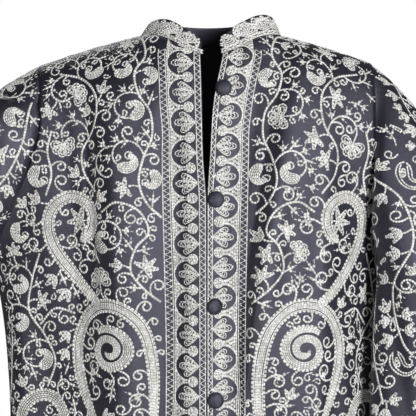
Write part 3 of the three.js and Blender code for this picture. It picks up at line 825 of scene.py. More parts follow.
def openPaisley(size=1):  # two outlines that taper and curl, with a petal inside
    spine = curled(46, turn=4.6, power=2.1, gap=1.5)
    t = np.linspace(0, 1, len(spine))
    half = 8.5 * np.sqrt(np.clip(t / 0.25, 0, 1)) * (1 - t) ** 0.8 + 1.2
    lines = stroke(spine, half, 2) + stroke(spine[2:-8], half[2:-8] * 0.55, 2)
    return [line * size for line in lines] + turned(petal(10 * size, 5 * size, 2), (6 * size, 0))


def twig(length=18, leaf=8):  # slim leaves on both sides of a bent stem
    lines = [curled(length, turn=0.7, power=1)]
    for k, lean in ((0.35, 0.9), (0.62, -0.9), (0.96, 0.75), (0.96, -0.75), (0.96, 0)):
        place = min(round(k * len(lines[0])), len(lines[0]) - 1)
        way = headings(lines[0])[place]
        lines += turned(slimLeaf(leaf), lines[0][place], angleOf(way) + lean)
    return lines


def scroll(end, length=66, turn=3.9):  # a curling stem with shoots, and a motif at its end
    line = curled(length, turn, power=1.25)
    lines = [line] + turned(end, line[-1], angleOf(headings(line)[-1]))
    return lines + sideShoots(line, ((0.22, -1), (0.4, 1), (0.5, -1), (0.76, -1)), 0.95)


def stalked(end, length, turn, at, angle):  # a motif on a short bent stalk
    return [curled(length, turn, power=1)] + turned(end, at, angle)


motifs = {
    "sprig": sprig(8, 10), "smallSprig": sprig(5, 8), "curl": curl(44), "smallCurl": curl(28, 6.6),
    "tinyCurl": curl(18, 5.6), "leafyCurl": leafyCurl(54), "twig": twig(), "smallTwig": twig(11, 6.5),
    "fan": flower(24, 7), "maple": maple(18), "smallTulip": tulip(11),
    "comma": commaPaisley(1.15), "smallComma": commaPaisley(0.85), "openPaisley": openPaisley(),
    "leaf": petal(13, 3), "loopLeaf": petal(14, 6.5),
    "stalkedComma": stalked(commaPaisley(1.1), 14, 0.9, (12, 5.6), 1.0),
    "stalkedTulip": stalked(tulip(15), 12, 0.7, (11, 3.8), 0.7),
    "stalkedMaple": stalked(maple(17), 12, -0.8, (10.6, -4.4), -0.8),
    "stalkedFan": stalked(flower(23), 12, -0.8, (10.6, -4.4), -0.8),
    "scrollComma": scroll(commaPaisley(1.05)), "scrollFan": scroll(flower(24), 60, 3.4),
    "scrollTulip": scroll(tulip(15), 60, 3.7), "scrollCurl": scroll(curl(30, 5.2), 50, 2.6),
    "shortComma": scroll(commaPaisley(0.95), 44, 3.3),
}
motifs = {name: [np.asarray(line, float) for line in lines] for name, lines in motifs.items()}
motifDots = {}  # the ground that each motif covers

# Chances taken as motifs grow from a stem or are scattered, and how points are found on the cloth
growing = {
    "lean": (0.55, 1.15), "size": (0.88, 1.12), "pitch": (0.75, 1.25), "gap": 1.2, "first": 4,
}
scattering = {"size": (0.85, 1.15)}
finding = {"step": 0.05, "passes": 4, "within": 0.4}


class Field:
    # One panel's flat cut: which millimetres are cloth, which are stitched, and all its rows
    fine = 8

    def __init__(self, name, seed, margin):
        self.name, self.random = name, random.Random(seed)
        self.rows, self.stems, self.bands = [], [], []
        c = cloth[name]
        self.flat = c["flat"]
        rows, columns = self.flat.shape[:2]
        self.low = np.floor(self.flat.reshape(-1, 2).min(axis=0)) - 4
        size = np.ceil(self.flat.reshape(-1, 2).max(axis=0) - self.low).astype(int) + 5
        self.shape = (size[1], size[0])
        r = np.linspace(0, rows - 1, (rows - 1) * self.fine + 1)
        q = np.linspace(0, columns - 1, (columns - 1) * self.fine + 1)
        rr, qq = np.meshgrid(r, q, indexing="ij")
        spots = self.cellOf(blend(self.flat, rr.ravel(), qq.ravel()))
        self.near = np.full((*self.shape, 2), -1.0)
        self.near[spots[:, 0], spots[:, 1], 0] = rr.ravel()
        self.near[spots[:, 0], spots[:, 1], 1] = qq.ravel()
        for step in ((0, 1), (1, 0), (0, -1), (-1, 0)):  # cells between the samples
            beside = np.roll(self.near, step, axis=(0, 1))
            empty = self.near[..., 0] < 0
            self.near[empty] = beside[empty]
        free = self.near[..., 0] >= 0
        for _ in range(margin):
            free = ~grown(~free)
        self.full = ~free

    def cellOf(self, points):
        cell = np.floor(np.asarray(points) - self.low).astype(int)[:, ::-1]
        return np.clip(cell, 0, np.array(self.shape) - 1)

    def stamp(self, lines, clear=2.4):
        reach = int(math.ceil(clear))
        ring = [(a, b) for a in range(-reach, reach + 1) for b in range(-reach, reach + 1)
                if a * a + b * b <= clear * clear]
        for line in lines:
            cells = self.cellOf(dense(line))
            for a, b in ring:
                self.full[np.clip(cells[:, 0] + a, 0, self.shape[0] - 1),
                          np.clip(cells[:, 1] + b, 0, self.shape[1] - 1)] = True

    def add(self, lines, clear=2.4, width=1.0, pitch=1.0):
        lines = [np.asarray(line, float) for line in lines]
        self.rows += [(line, width, pitch) for line in lines]
        self.stamp(lines, clear)

    def fits(self, dots, foot=None, skip=4.5):
        if foot is not None:
            dots = dots[np.linalg.norm(dots - foot, axis=1) > skip]
        cells = self.cellOf(dots)
        return not self.full[cells[:, 0], cells[:, 1]].any()

    def grow(self, line, kinds, every):
        # Branches on alternate sides of a line, each the first kind that has room
        if len(line) < 6:
            return
        line = dense(line, growing["gap"])
        way, run = headings(line), runAlong(line)
        side, at = 1, growing["first"]
        while at < run[-1]:
            place = int(np.searchsorted(run, at))
            for turnSide in (side, -side):
                for kind in self.random.sample(kinds, len(kinds)):
                    lean = self.random.uniform(*growing["lean"])
                    angle = angleOf(way[place]) + turnSide * lean
                    size = self.random.uniform(*growing["size"])
                    curlSide = self.random.choice((turnSide, turnSide, -turnSide))
                    how = (line[place], angle, size, curlSide)
                    if self.fits(turned(motifDots[kind], *how)[0], line[place]):
                        branch = turned(motifs[kind], *how)
                        self.add(branch[:1], width=stitchSizes["arc"])
                        self.add(branch[1:])
                        if kind.startswith(("scroll", "short", "stalked", "leafy")):
                            self.stems.append(branch[0])
                        break
            side = -side
            at += every * self.random.uniform(*growing["pitch"])

    def scatter(self, kinds, tries, lowV=-math.inf, highV=math.inf):
        for _ in range(tries):
            at = np.array([self.random.uniform(0, self.shape[1]),
                           self.random.uniform(0, self.shape[0])]) + self.low
            if not lowV <= at[1] <= highV:
                continue
            cell = self.cellOf([at])[0]
            if self.full[cell[0], cell[1]]:
                continue
            kind = self.random.choice(kinds)
            how = (at, self.random.uniform(0, 2 * math.pi),
                   self.random.uniform(*scattering["size"]), self.random.choice((-1, 1)))
            if self.fits(turned(motifDots[kind], *how)[0]):
                self.add(turned(motifs[kind], *how))

    def onCloth(self, points):  # rows and columns of flat points, and which of them lie on cloth
        cell = self.cellOf(points)
        start = self.near[cell[:, 0], cell[:, 1]]
        ok = start[:, 0] >= 0
        rows, columns = self.flat.shape[:2]
        r, q, h = start[:, 0].copy(), start[:, 1].copy(), finding["step"]
        for _ in range(finding["passes"]):
            miss = points - blend(self.flat, r, q)
            down = (blend(self.flat, r + h, q) - blend(self.flat, r - h, q)) / (2 * h)
            side = (blend(self.flat, r, q + h) - blend(self.flat, r, q - h)) / (2 * h)
            area = down[:, 0] * side[:, 1] - down[:, 1] * side[:, 0]
            area = np.where(np.abs(area) < 1e-6, 1e-6, area)
            r += (miss[:, 0] * side[:, 1] - miss[:, 1] * side[:, 0]) / area
            q += (down[:, 0] * miss[:, 1] - down[:, 1] * miss[:, 0]) / area
            r, q = np.clip(r, 0, rows - 1), np.clip(q, 0, columns - 1)
        miss = np.linalg.norm(points - blend(self.flat, r, q), axis=1)
        return r, q, ok & (miss < finding["within"])

    def onFree(self, point):
        cell = self.cellOf([point])[0]
        return not self.full[cell[0], cell[1]]


def grown(mask):
    out = mask.copy()
    out[1:] |= mask[:-1]
    out[:-1] |= mask[1:]
    out[:, 1:] |= mask[:, :-1]
    out[:, :-1] |= mask[:, 1:]
    return out


def dense(line, gap=1.0):
    line = np.asarray(line, float)
    return spaced(line, max(1, round(lengthOf(line) / gap)))


for name, lines in motifs.items():
    motifDots[name] = [np.vstack([dense(line) for line in lines])]


def blend(grid, r, q):  # a grid read between its points
    j = np.clip(np.floor(r).astype(int), 0, grid.shape[0] - 2)
    i = np.clip(np.floor(q).astype(int), 0, grid.shape[1] - 2)
    f, g = (r - j)[:, None], (q - i)[:, None]
    return ((1 - f) * ((1 - g) * grid[j, i] + g * grid[j, i + 1])
            + f * ((1 - g) * grid[j + 1, i] + g * grid[j + 1, i + 1]))


# The design. u runs outward from a front's edge, v down from its top, both in millimetres.
borderSizes = {
    "innerPitch": 7, "bandPitch": 6.8, "cell": 35.2, "hatch": 1.9, "petal": 0.84, "disc": 5.4,
    "fineRow": 0.6, "zigzag": 0.44, "edgeRow": 0.7, "hem": 20, "clear": 1.5,
    "cornerGap": 0.6, "strokeFrom": 0.26, "strokeTo": 0.8,
    "archGrow": 0.7, "archInset": 0.4, "archFoot": 8, "rimOut": 0.5, "petalFoot": 0.6,
    "discFoot": 0.8, "hatchInset": 0.2, "hatchFoot": 10, "hatchGap": 1.2, "shortest": 0.8,
}
borders = {
    "front_left": {"inner": (1.6, 8), "row": (10, 40), "outer": (42, 50), "start": -18.5},
    "front_right": {"inner": (1.2, 6), "row": (7.5, 36), "outer": (38, 45.5), "start": -25},
}


def zigzag(lowU, highU, lowV, highV, pitch):  # straight stitches that stop short of each corner
    z = borderSizes
    count = max(2, round((highV - lowV) / pitch) * 2)
    v = np.linspace(lowV, highV, count + 1)
    u = np.where(np.arange(count + 1) % 2 == 0, lowU + z["cornerGap"], highU - z["cornerGap"])
    corners = np.stack([u, v], axis=1)
    return [np.array([mix(a, b, z["strokeFrom"]), mix(a, b, z["strokeTo"])])
            for a, b in zip(corners[:-1], corners[1:])]


palmetteSizes = {"middle": 7.6, "side": 7, "sideLength": 0.82, "lean": 0.53, "rings": 3}


def palmette(length):  # a middle petal between two shorter ones
    z = palmetteSizes
    lines = petal(length, z["middle"], z["rings"])
    for turn in (z["lean"], -z["lean"]):
        lines += turned(petal(length * z["sideLength"], z["side"], z["rings"]), (0, 0), turn)
    return lines


def border(name):
    z, b = borderSizes, borders[name]
    field = fields[name]
    edge = field.flat[:, 0]
    order = np.argsort(edge[:, 1])

    def beside(lines):  # the border keeps its distance from the edge, also where the neck opens
        return [line + np.stack([np.interp(line[:, 1], edge[order, 1], edge[order, 0]),
                                 np.zeros(len(line))], axis=1) for line in map(dense, lines)]

    lowV, highV = edge[:, 1].min(), edge[:, 1].max() - z["hem"]
    field.add(beside(zigzag(*b["inner"], lowV, highV, z["innerPitch"])
                     + zigzag(*b["outer"], lowV, highV, z["bandPitch"])), z["clear"], z["zigzag"])
    straight = [np.array([[u, lowV], [u, highV]]) for u in (*b["inner"], *b["outer"])]
    field.add(beside(straight), z["clear"], z["edgeRow"])
    # A row of arches, each with a palmette, and between them a disc and hatching
    low, high = b["row"]
    radius = (high - low) / 2 + z["archGrow"]
    middle = high - radius - z["archInset"]
    end = math.acos((low + z["archFoot"] - middle) / radius)
    turn, rimRadius = np.linspace(-end, end, 21), radius + z["rimOut"]
    rim = np.stack([middle + rimRadius * np.cos(turn), rimRadius * np.sin(turn)], axis=1)
    petals, fill = [], []
    for k in range(-2, int((highV - b["start"]) / z["cell"]) + 1):
        centre = b["start"] + k * z["cell"]
        petals += turned(palmette((high - low) * z["petal"]), (low - z["petalFoot"], centre))
        fill.append(rim + (0, centre))
        between = centre + z["cell"] / 2
        if between > highV:
            continue
        fill += turned(disc(z["disc"], 3), (low + z["disc"] + z["discFoot"], between))
        for u in np.arange(high - z["hatchInset"], low + z["hatchFoot"], -z["hatch"]):
            arch = math.sqrt(max(0, radius ** 2 - (u - middle) ** 2))
            reach = z["cell"] / 2 - arch - z["hatchGap"]
            if reach > z["shortest"]:
                fill.append(np.array([[u, between - reach], [u, between + reach]]))
    field.add(beside(petals), z["clear"], z["fineRow"])
    field.add(beside(fill), z["clear"])
    keep = np.array([[b["outer"][1] / 2, v] for v in np.arange(lowV, highV, 2)])
    field.stamp(beside([keep]), b["outer"][1] / 2)


# The large paisleys of a front: spine, half widths along it, and how many rows fill it
bigForms = [
    {"spine": [(84, 520), (71, 472), (65, 420), (65, 372), (74, 328), (96, 303), (122, 299),
               (147, 313), (161, 342), (160, 378), (148, 414), (128, 452), (106, 490), (88, 522)],
     "half": [(0, 1), (0.12, 2.8), (0.3, 4.8), (0.5, 5.4), (0.7, 4.8), (0.88, 2.8), (1, 1)], "rows": 6},
    {"spine": [(152, 224), (140, 216), (134, 200), (138, 184), (151, 174), (168, 173), (183, 184),
               (190, 203), (186, 228), (170, 256), (150, 280), (128, 297)],
     "half": [(0, 1.5), (0.03, 4.6), (0.08, 5.5), (0.3, 4.6), (0.6, 5.4), (0.9, 4.6), (1, 3)],
     "rows": 6},
    {"spine": [(196, 462), (184, 446), (184, 426), (196, 410), (216, 408), (232, 422), (238, 448),
               (232, 482), (214, 522), (192, 556)],
     "half": [(0, 1.5), (0.03, 4), (0.1, 5), (0.4, 4.6), (0.7, 4), (1, 1)], "rows": 5},
]
spiralSizes = {
    "centre": (113, 350), "inner": 4, "outer": 25, "turns": 1.75, "from": 0.6, "opening": 0.85,
    "half": 3.8, "swell": ([0, 0.12, 0.8, 1], [0.35, 0.8, 1.1, 0.6]), "rows": 5, "inside": 0.5,
    "rimFrom": 80, "rimAway": 1.5,
}
ringFlower = {"at": (142, 200), "angle": 0.1, "size": 1.3}
bandSizes = {"inside": 0.52, "clear": 2.2}  # inside: how far the inner rows reach towards the edges
scallopSizes = {"width": 1.35, "pitch": 1.45, "away": 1.7, "clear": 2}
frontVines = [
    [(53, 196), (68, 180), (76, 156), (71, 128), (62, 104), (64, 76), (78, 54), (84, 28),
     (74, 4), (82, -22), (100, -36)],
    [(128, 168), (144, 146), (146, 118), (130, 90), (128, 58), (146, 34), (176, 24)],
    [(192, 172), (184, 146), (188, 118), (184, 96)],
    [(54, 296), (72, 280), (86, 258), (80, 232), (66, 214), (76, 190), (100, 180), (118, 190)],
    [(204, 398), (192, 366), (204, 336), (222, 306), (216, 270), (204, 240)],
    [(166, 310), (188, 304), (208, 322)],
    [(54, 640), (66, 600), (62, 560), (56, 520), (58, 480)],
    [(150, 650), (132, 610), (142, 570), (160, 530), (162, 480), (176, 440)],
    [(246, 650), (256, 600), (244, 556), (252, 500), (260, 440), (252, 390), (246, 340)],
]


def scallops(edge, side, away=scallopSizes["away"]):  # separate round stitches along an edge
    return [(edge + side * away * sideways(edge))[3:-3]]


def bandForm(form, place):
    spine = place(curveThrough(form["spine"]))
    t = np.linspace(0, 1, len(spine))
    half = np.interp(t, *zip(*form["half"]))
    edges = stroke(spine, half, 2)
    inner = stroke(spine, half * bandSizes["inside"], form["rows"] - 2)
    return edges + inner, scallops(edges[0], -1) + scallops(edges[-1], 1)


def spiralForm(z, place):
    t = np.linspace(0, 1, 160)
    radius = mix(z["inner"], z["outer"], t ** z["opening"])
    angle = z["from"] + t * z["turns"] * 2 * math.pi
    spine = place(np.stack([radius * np.cos(angle), radius * np.sin(angle)], axis=1) + z["centre"])
    half = z["half"] * np.interp(t, *z["swell"])
    edges = stroke(spine, half, 2)
    inner = stroke(spine, half * z["inside"], z["rows"] - 2)
    return edges + inner, scallops(edges[0][z["rimFrom"]:], -1, z["rimAway"])


def asDrawn(line):
    return line


def figures(field, place, vines, forms=bigForms, spiral=True):
    # Bands first, then vines, so that everything grown later keeps clear of them
    made = [bandForm(form, place) for form in forms]
    if spiral:
        made.append(spiralForm(spiralSizes, place))
    z = scallopSizes
    for lines, rounds in made:
        field.add(lines, bandSizes["clear"])
        field.add(rounds, z["clear"], z["width"], z["pitch"])
        field.bands += rounds
    for points in vines:
        for run in split(field, place(curveThrough(points))):
            if len(run) > 8:
                field.add([run], width=stitchSizes["stem"])
                field.stems.append(run)


def split(field, line):  # the runs of a line that lie on free cloth
    line = dense(line, growing["gap"])
    cells = field.cellOf(line)
    free = ~field.full[cells[:, 0], cells[:, 1]]
    marks = np.nonzero(np.diff(free.astype(int)))[0] + 1
    return [run for run in np.split(line, marks) if field.onFree(run[len(run) // 2])]


def alongEdge(line, low, high, pitch):  # a zigzag between two lines, beside the edge of a panel
    beside, run = sideways(line), runAlong(line)
    count = max(2, round(run[-1] / pitch) * 2)
    at = np.linspace(0, run[-1], count + 1)
    foot = np.stack([np.interp(at, run, line[:, k]) for k in (0, 1)], axis=1)
    out = np.stack([np.interp(at, run, beside[:, k]) for k in (0, 1)], axis=1)
    far = np.where(np.arange(count + 1) % 2 == 0, low, high)[:, None]
    return [foot + out * far, foot + out * low, foot + out * high]


# The zigzag beside a hem or a cuff: its two lines, measured from the edge, and its pitch
hemBand, cuffBand = (-10, -17, 8), (-8, -15, 8)


def frontDesign(name):
    z, field = ringFlower, fields[name]
    field.add(alongEdge(field.flat[-1], *hemBand), clear=2)
    border(name)
    figures(field, asDrawn, frontVines)
    field.add(turned(motifs["maple"], z["at"], z["angle"], z["size"]))
    finishField(field, 1.0)


# What grows on the stems, in turn: the kinds and how far apart they are tried
growth = [
    (["scrollComma", "scrollFan", "scrollComma"], 6),
    (["shortComma", "scrollCurl", "shortComma"], 6),
    (["stalkedComma", "stalkedFan", "stalkedMaple"], 5),
    (["smallComma", "curl", "leafyCurl", "stalkedTulip"], 8),
    (["twig", "smallCurl", "sprig", "twig"], 8),
    (["tinyCurl", "smallSprig", "smallTwig"], 8),
]
bandGrowth = [
    (["scrollComma", "scrollFan", "leafyCurl"], 30),
    (["stalkedFan", "stalkedTulip", "curl"], 22),
    (["smallCurl", "tinyCurl"], 17),
]
# What fills the ground that is left, in turn: the kinds and how many places are tried
fillings = [
    (["comma", "fan", "curl", "twig"], 1200),
    (["smallComma", "twig", "curl"], 1200),
    (["smallCurl", "smallTwig"], 1500),
    (["tinyCurl", "smallSprig"], 1200),
]
sparseFilling = (["sprig", "smallCurl", "twig", "smallTulip"], 420)


def finishField(field, density, richDown=570):  # rich down to a level, sparse below it
    for kinds, every in bandGrowth:
        for line in field.bands:
            field.grow(line, kinds, every)
    for kinds, every in growth:
        for line in list(field.stems):
            field.grow(line[line[:, 1] < richDown + 40], kinds, every)
    for kinds, tries in fillings:
        field.scatter(kinds, round(tries * density), highV=richDown)
    kinds, tries = sparseFilling
    field.scatter(kinds, round(tries * density), lowV=richDown)


backMiddleVine = [(0, 40), (20, 84), (0, 130), (-20, 176), (0, 222), (20, 270), (0, 318),
                  (-20, 366), (0, 414), (20, 462), (0, 520), (-16, 580), (0, 640)]
backSizes = {"density": 0.9, "down": 26}  # down: how much lower its figures lie than a front's


def backDesign():
    z, field = backSizes, fields["back"]
    field.add(alongEdge(field.flat[-1], *hemBand), clear=2)
    figures(field, asDrawn, [backMiddleVine], [], False)
    for side in (-1, 1):
        figures(field, lambda line: line * (side, 1) + (0, z["down"]), frontVines)
    finishField(field, z["density"])


sleeveVines = [
    [(-20, 8), (16, 52), (30, 104), (6, 154), (-26, 200), (-24, 250), (14, 292), (34, 342),
     (8, 392), (-24, 440), (-14, 500), (10, 560)],
    [(64, 40), (100, 88), (112, 146), (84, 196), (84, 250), (118, 300), (116, 362), (84, 414),
     (92, 480), (110, 540)],
    [(-64, 40), (-98, 92), (-108, 150), (-78, 204), (-86, 262), (-116, 322), (-108, 386),
     (-84, 446), (-96, 520)],
    [(152, 196), (166, 246), (150, 300), (158, 360), (146, 430)],
    [(-140, 200), (-152, 250), (-136, 310), (-146, 370), (-134, 430)],
]
sleevePaisleys = [((70, 150), 1.2), ((128, 372), 1.7), ((20, 250), 1.3), ((-60, 330), 1.8)]
sleeveSizes = {"paisley": 1.15, "density": 1.2, "richDown": 260, "openDown": 460}
openGrowth = [
    (["scrollTulip", "openPaisley", "shortComma", "stalkedTulip"], 22),
    (["stalkedTulip", "scrollCurl", "curl"], 15),
    (["twig", "sprig", "loopLeaf", "smallSprig"], 12),
]


def richSleeve(name):  # as closely worked as the fronts
    z, field = sleeveSizes, fields[name]
    field.add(alongEdge(field.flat[-1], *cuffBand), clear=2)
    figures(field, asDrawn, sleeveVines, [], False)
    finishField(field, z["density"], z["richDown"])


def openSleeve(name):  # long vines with open paisleys, and more of the ground between them
    z, field = sleeveSizes, fields[name]
    field.add(alongEdge(field.flat[-1], *cuffBand), clear=2)
    for at, angle in sleevePaisleys:
        field.add(turned(motifs["openPaisley"], at, angle, z["paisley"]))
    figures(field, asDrawn, sleeveVines, [], False)
    for kinds, every in openGrowth:
        for line in list(field.stems):
            field.grow(line, kinds, every)
    field.scatter(["openPaisley", "curl", "twig", "stalkedTulip"], 900, highV=z["openDown"])
    field.scatter(["sprig", "smallTulip", "smallCurl", "leaf"], 900, highV=z["openDown"])
    field.scatter(["twig", "sprig", "smallCurl"], 160, lowV=z["openDown"])


collarSizes = {"pitch": 13.6, "band": (-1.2, -5.2, 5), "foot": 6, "clear": 7.4, "petal": 0.36}


def collarDesign():
    z, field = collarSizes, fields["collar"]
    base, top = field.flat[-1], field.flat[0]
    field.add(alongEdge(base, *z["band"]), clear=1)
    run = runAlong(base)
    count = round(run[-1] / z["pitch"])
    for k in range(count):
        at = (k + 0.5) * run[-1] / count
        low = np.array([np.interp(at, run, base[:, j]) for j in (0, 1)])
        high = np.array([np.interp(at, run, top[:, j]) for j in (0, 1)])
        up = (high - low) / np.linalg.norm(high - low)
        height = np.linalg.norm(high - low) - z["clear"]
        shape = fan(height, 5) if k % 2 else petal(height, height * z["petal"], 2)
        field.add(turned(shape, low + up * z["foot"], angleOf(up)), clear=1)


firstSeed = 20
fields = {}
for k, name in enumerate(cloth):
    fields[name] = Field(name, firstSeed + k, 1 if name == "collar" else 2)
frontDesign("front_left")
frontDesign("front_right")
backDesign()
collarDesign()
richSleeve("sleeve_left")
openSleeve("sleeve_right")
print("embroidery drawn")


# Rows laid on the cloth, then worked in chain stitch by Geometry Nodes


def swelling(row, count):  # a slim leaf is the only row drawn with three points
    if len(row) != 3:
        return np.ones(count)
    end, middle = stitchSizes["leaf"]
    return end + middle * np.sin(np.linspace(0, math.pi, count))


def laid(field, rows):
    lines = [staggered(dense(row[0], stitchSizes["gap"]), field.random) for row in rows]
    points = np.vstack(lines)
    widths = np.concatenate([row[1] * swelling(row[0], len(line)) for line, row in zip(lines, rows)])
    pitches = np.concatenate([np.full(len(line), row[2]) for line, row in zip(lines, rows)])
    r, q, ok = field.onCloth(points)
    c = cloth[field.name]
    place, normal = blend(c["points"], r, q), blend(c["normals"], r, q)
    normal /= np.linalg.norm(normal, axis=1)[:, None]
    place = place + normal * stitchSizes["lift"]
    used, edges, start = np.zeros(len(points), bool), [], 0
    for line in lines:
        run = np.arange(start, start + len(line))
        both = ok[run[:-1]] & ok[run[1:]]
        edges += [(a, a + 1) for a in run[:-1][both].tolist()]
        start += len(line)
    used[[k for edge in edges for k in edge]] = True
    order = np.cumsum(used) - 1
    edges = [(int(order[a]), int(order[b])) for a, b in edges]
    return place[used] * mm, edges, {"clothNormal": normal[used], "rowWidth": widths[used],
                                     "rowPitch": pitches[used]}


def staggered(line, chance):  # so that the stitches of neighbouring rows don't line up
    cut = chance.randint(0, 3)
    if np.linalg.norm(line[0] - line[-1]) < stitchSizes["closedWithin"]:
        cut = chance.randint(0, len(line) - 2)
        return np.vstack([line[cut:-1], line[:cut + 1]])
    return line[cut:] if len(line) > stitchSizes["shortRow"] else line


def stitchLink():
    # One link of chain: pointed where it starts, two raised sides with a groove between
    verts = [(-2.9, 0, 0.25), (-1.3, 0.84, 0.5), (1.9, 0.78, 0.5), (1.9, -0.78, 0.5),
             (-1.3, -0.84, 0.5), (0.3, 0, 0.72), (0, 0, -0.45)]
    faces = []
    for k in range(5):
        after = (k + 1) % 5
        faces += [(5, after, k), (6, k, after)]
    mesh = bpy.data.meshes.new("stitchLink")
    mesh.from_pydata([[v * mm for v in vert] for vert in verts], [], faces)
    mesh.shade_smooth()
    return bpy.data.objects.new("stitchLink", mesh)


def chainTree(link, thread):
    tree = bpy.data.node_groups.new("chainStitch", "GeometryNodeTree")
    sides = (("Rows", "NodeSocketGeometry", "INPUT"), ("Stitch length", "NodeSocketFloat", "INPUT"),
             ("Stitch width", "NodeSocketFloat", "INPUT"), ("Seed", "NodeSocketInt", "INPUT"),
             ("Stitches", "NodeSocketGeometry", "OUTPUT"))
    for name, kind, side in sides:
        tree.interface.new_socket(name, in_out=side, socket_type=kind)
    given = tree.nodes.new("NodeGroupInput")
    result = tree.nodes.new("NodeGroupOutput")
    curve = addNode(tree, "GeometryNodeMeshToCurve", {"Mesh": given.outputs["Rows"]})
    apart = addNode(tree, "GeometryNodeInputNamedAttribute", {"Name": "rowPitch"}, data_type="FLOAT")
    step = reckoned(tree, "MULTIPLY", apart.outputs[0], given.outputs["Stitch length"])
    rows = addNode(tree, "GeometryNodeResampleCurve", {"Curve": curve.outputs[0], "Length": step},
                   mode="LENGTH")
    tangent = addNode(tree, "GeometryNodeInputTangent")
    up = addNode(tree, "GeometryNodeInputNamedAttribute", {"Name": "clothNormal"},
                 data_type="FLOAT_VECTOR")
    facing = addNode(tree, "FunctionNodeAxesToRotation",
                     {"Primary Axis": tangent.outputs[0], "Secondary Axis": up.outputs[0]},
                     primary_axis="X", secondary_axis="Z")
    vary = addNode(tree, "FunctionNodeRandomValue", {2: 0.9, 3: 1.12, "Seed": given.outputs["Seed"]})
    row = addNode(tree, "GeometryNodeInputNamedAttribute", {"Name": "rowWidth"}, data_type="FLOAT")
    wide = reckoned(tree, "MULTIPLY", row.outputs[0], given.outputs["Stitch width"])
    breadth = reckoned(tree, "MULTIPLY", vary.outputs[1], wide)
    size = addNode(tree, "ShaderNodeCombineXYZ", {"X": 1.0, "Y": breadth, "Z": vary.outputs[1]})
    shape = addNode(tree, "GeometryNodeObjectInfo", {"Object": link})
    put = addNode(tree, "GeometryNodeInstanceOnPoints",
                  {"Points": rows.outputs[0], "Instance": shape.outputs["Geometry"],
                   "Rotation": facing.outputs[0], "Scale": size.outputs[0]})
    shade = addNode(tree, "FunctionNodeRandomValue", {"Seed": 3})
    kept = addNode(tree, "GeometryNodeStoreNamedAttribute",
                   {"Geometry": put.outputs[0], "Name": "threadTone", "Value": shade.outputs[1]},
                   data_type="FLOAT", domain="INSTANCE")
    real = addNode(tree, "GeometryNodeRealizeInstances", {"Geometry": kept.outputs[0]})
    last = addNode(tree, "GeometryNodeSetMaterial", {"Geometry": real.outputs[0], "Material": thread})
    tree.links.new(last.outputs[0], result.inputs[0])
    return tree


threadSizes = {
    "dark": (0.40, 0.39, 0.365), "light": (0.80, 0.795, 0.77), "levels": (0.05, 0.7),
    "roughness": 0.62, "sheen": 0.06, "sheenTint": (1, 0.98, 0.94),
    "wear": 45, "wearTone": 0.7, "wearBase": -0.1, "stitchTone": 0.5,
    "twist": 900, "twistStrength": 0.4, "twistDepth": 0.00012,
}


def threadMaterial():
    z = threadSizes
    made, tree, shader = newMaterial("silkThread", z["roughness"], z["sheen"], z["sheenTint"])
    place = addNode(tree, "ShaderNodeTexCoord").outputs["Object"]
    tone = addNode(tree, "ShaderNodeAttribute", attribute_name="threadTone").outputs["Fac"]
    wear = addNode(tree, "ShaderNodeTexNoise", {"Vector": place, "Scale": z["wear"], "Detail": 3})
    worn = reckoned(tree, "MULTIPLY_ADD", wear.outputs["Fac"], z["wearTone"], z["wearBase"])
    both = reckoned(tree, "MULTIPLY_ADD", tone, z["stitchTone"], worn)
    tree.links.new(toneRamp(tree, both, z), shader.inputs["Base Color"])
    plies = addNode(tree, "ShaderNodeTexNoise", {"Vector": place, "Scale": z["twist"], "Detail": 1})
    bump = addNode(tree, "ShaderNodeBump", {"Height": plies.outputs["Fac"],
                                            "Strength": z["twistStrength"],
                                            "Distance": z["twistDepth"]})
    tree.links.new(bump.outputs["Normal"], shader.inputs["Normal"])
    return made


threadSilk = threadMaterial()
link = stitchLink()
chain = chainTree(link, threadSilk)


def stitched(field, name, rows):
    z = stitchSizes
    verts, edges, values = laid(field, rows)
    mesh = bpy.data.meshes.new("rows_" + name)
    mesh.from_pydata(verts.tolist(), edges, [])
    for key, value in values.items():
        vector = value.ndim == 2
        layer = mesh.attributes.new(key, "FLOAT_VECTOR" if vector else "FLOAT", "POINT")
        layer.data.foreach_set("vector" if vector else "value", value.astype(np.float32).ravel())
    piece = bpy.data.objects.new("embroidery_" + name, mesh)
    bpy.context.scene.collection.objects.link(piece)
    worker = piece.modifiers.new("chainStitch", "NODES")
    worker.node_group = chain
    inputs = {item.name: item.identifier for item in chain.interface.items_tree}
    worker[inputs["Stitch length"]] = z["length"] * mm
    worker[inputs["Stitch width"]] = z["width"]
    worker[inputs["Seed"]] = z["seed"]
    shown = piece.evaluated_get(bpy.context.evaluated_depsgraph_get())
    made = bpy.data.meshes.new_from_object(shown)
    piece.modifiers.clear()
    piece.data = made
    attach(piece, "root")
    print("embroidery", name, len(rows), "rows", len(made.polygons), "faces")


# Each panel's stitching; the back's is worked in two halves
for name, field in fields.items():
    if name == "back":
        onLeft = [row[0][:, 0].mean() < 0 for row in field.rows]
        for half, chosen in (("left", True), ("right", False)):
            rows = [row for row, left in zip(field.rows, onLeft) if left == chosen]
            stitched(field, f"back_{half}", rows)
    else:
        stitched(field, name, field.rows)
bpy.data.objects.remove(link)
print("embroidery stitched")


# Covered buttons: a domed shell under stretched silk, gathered in under the rim
# profile gives its underside and rim as shares of the radius and the height
buttonSizes = {
    "radius": 9.7, "height": 7.2, "sides": 40, "tuck": 0.12, "tucks": 14, "hollow": 0.35,
    "profile": [(0.55, 0.35), (0.86, 0), (0.97, 0.1), (1, 0.28), (0.985, 0.42)],
    "domeFoot": 0.34, "domeRise": 0.66,
}


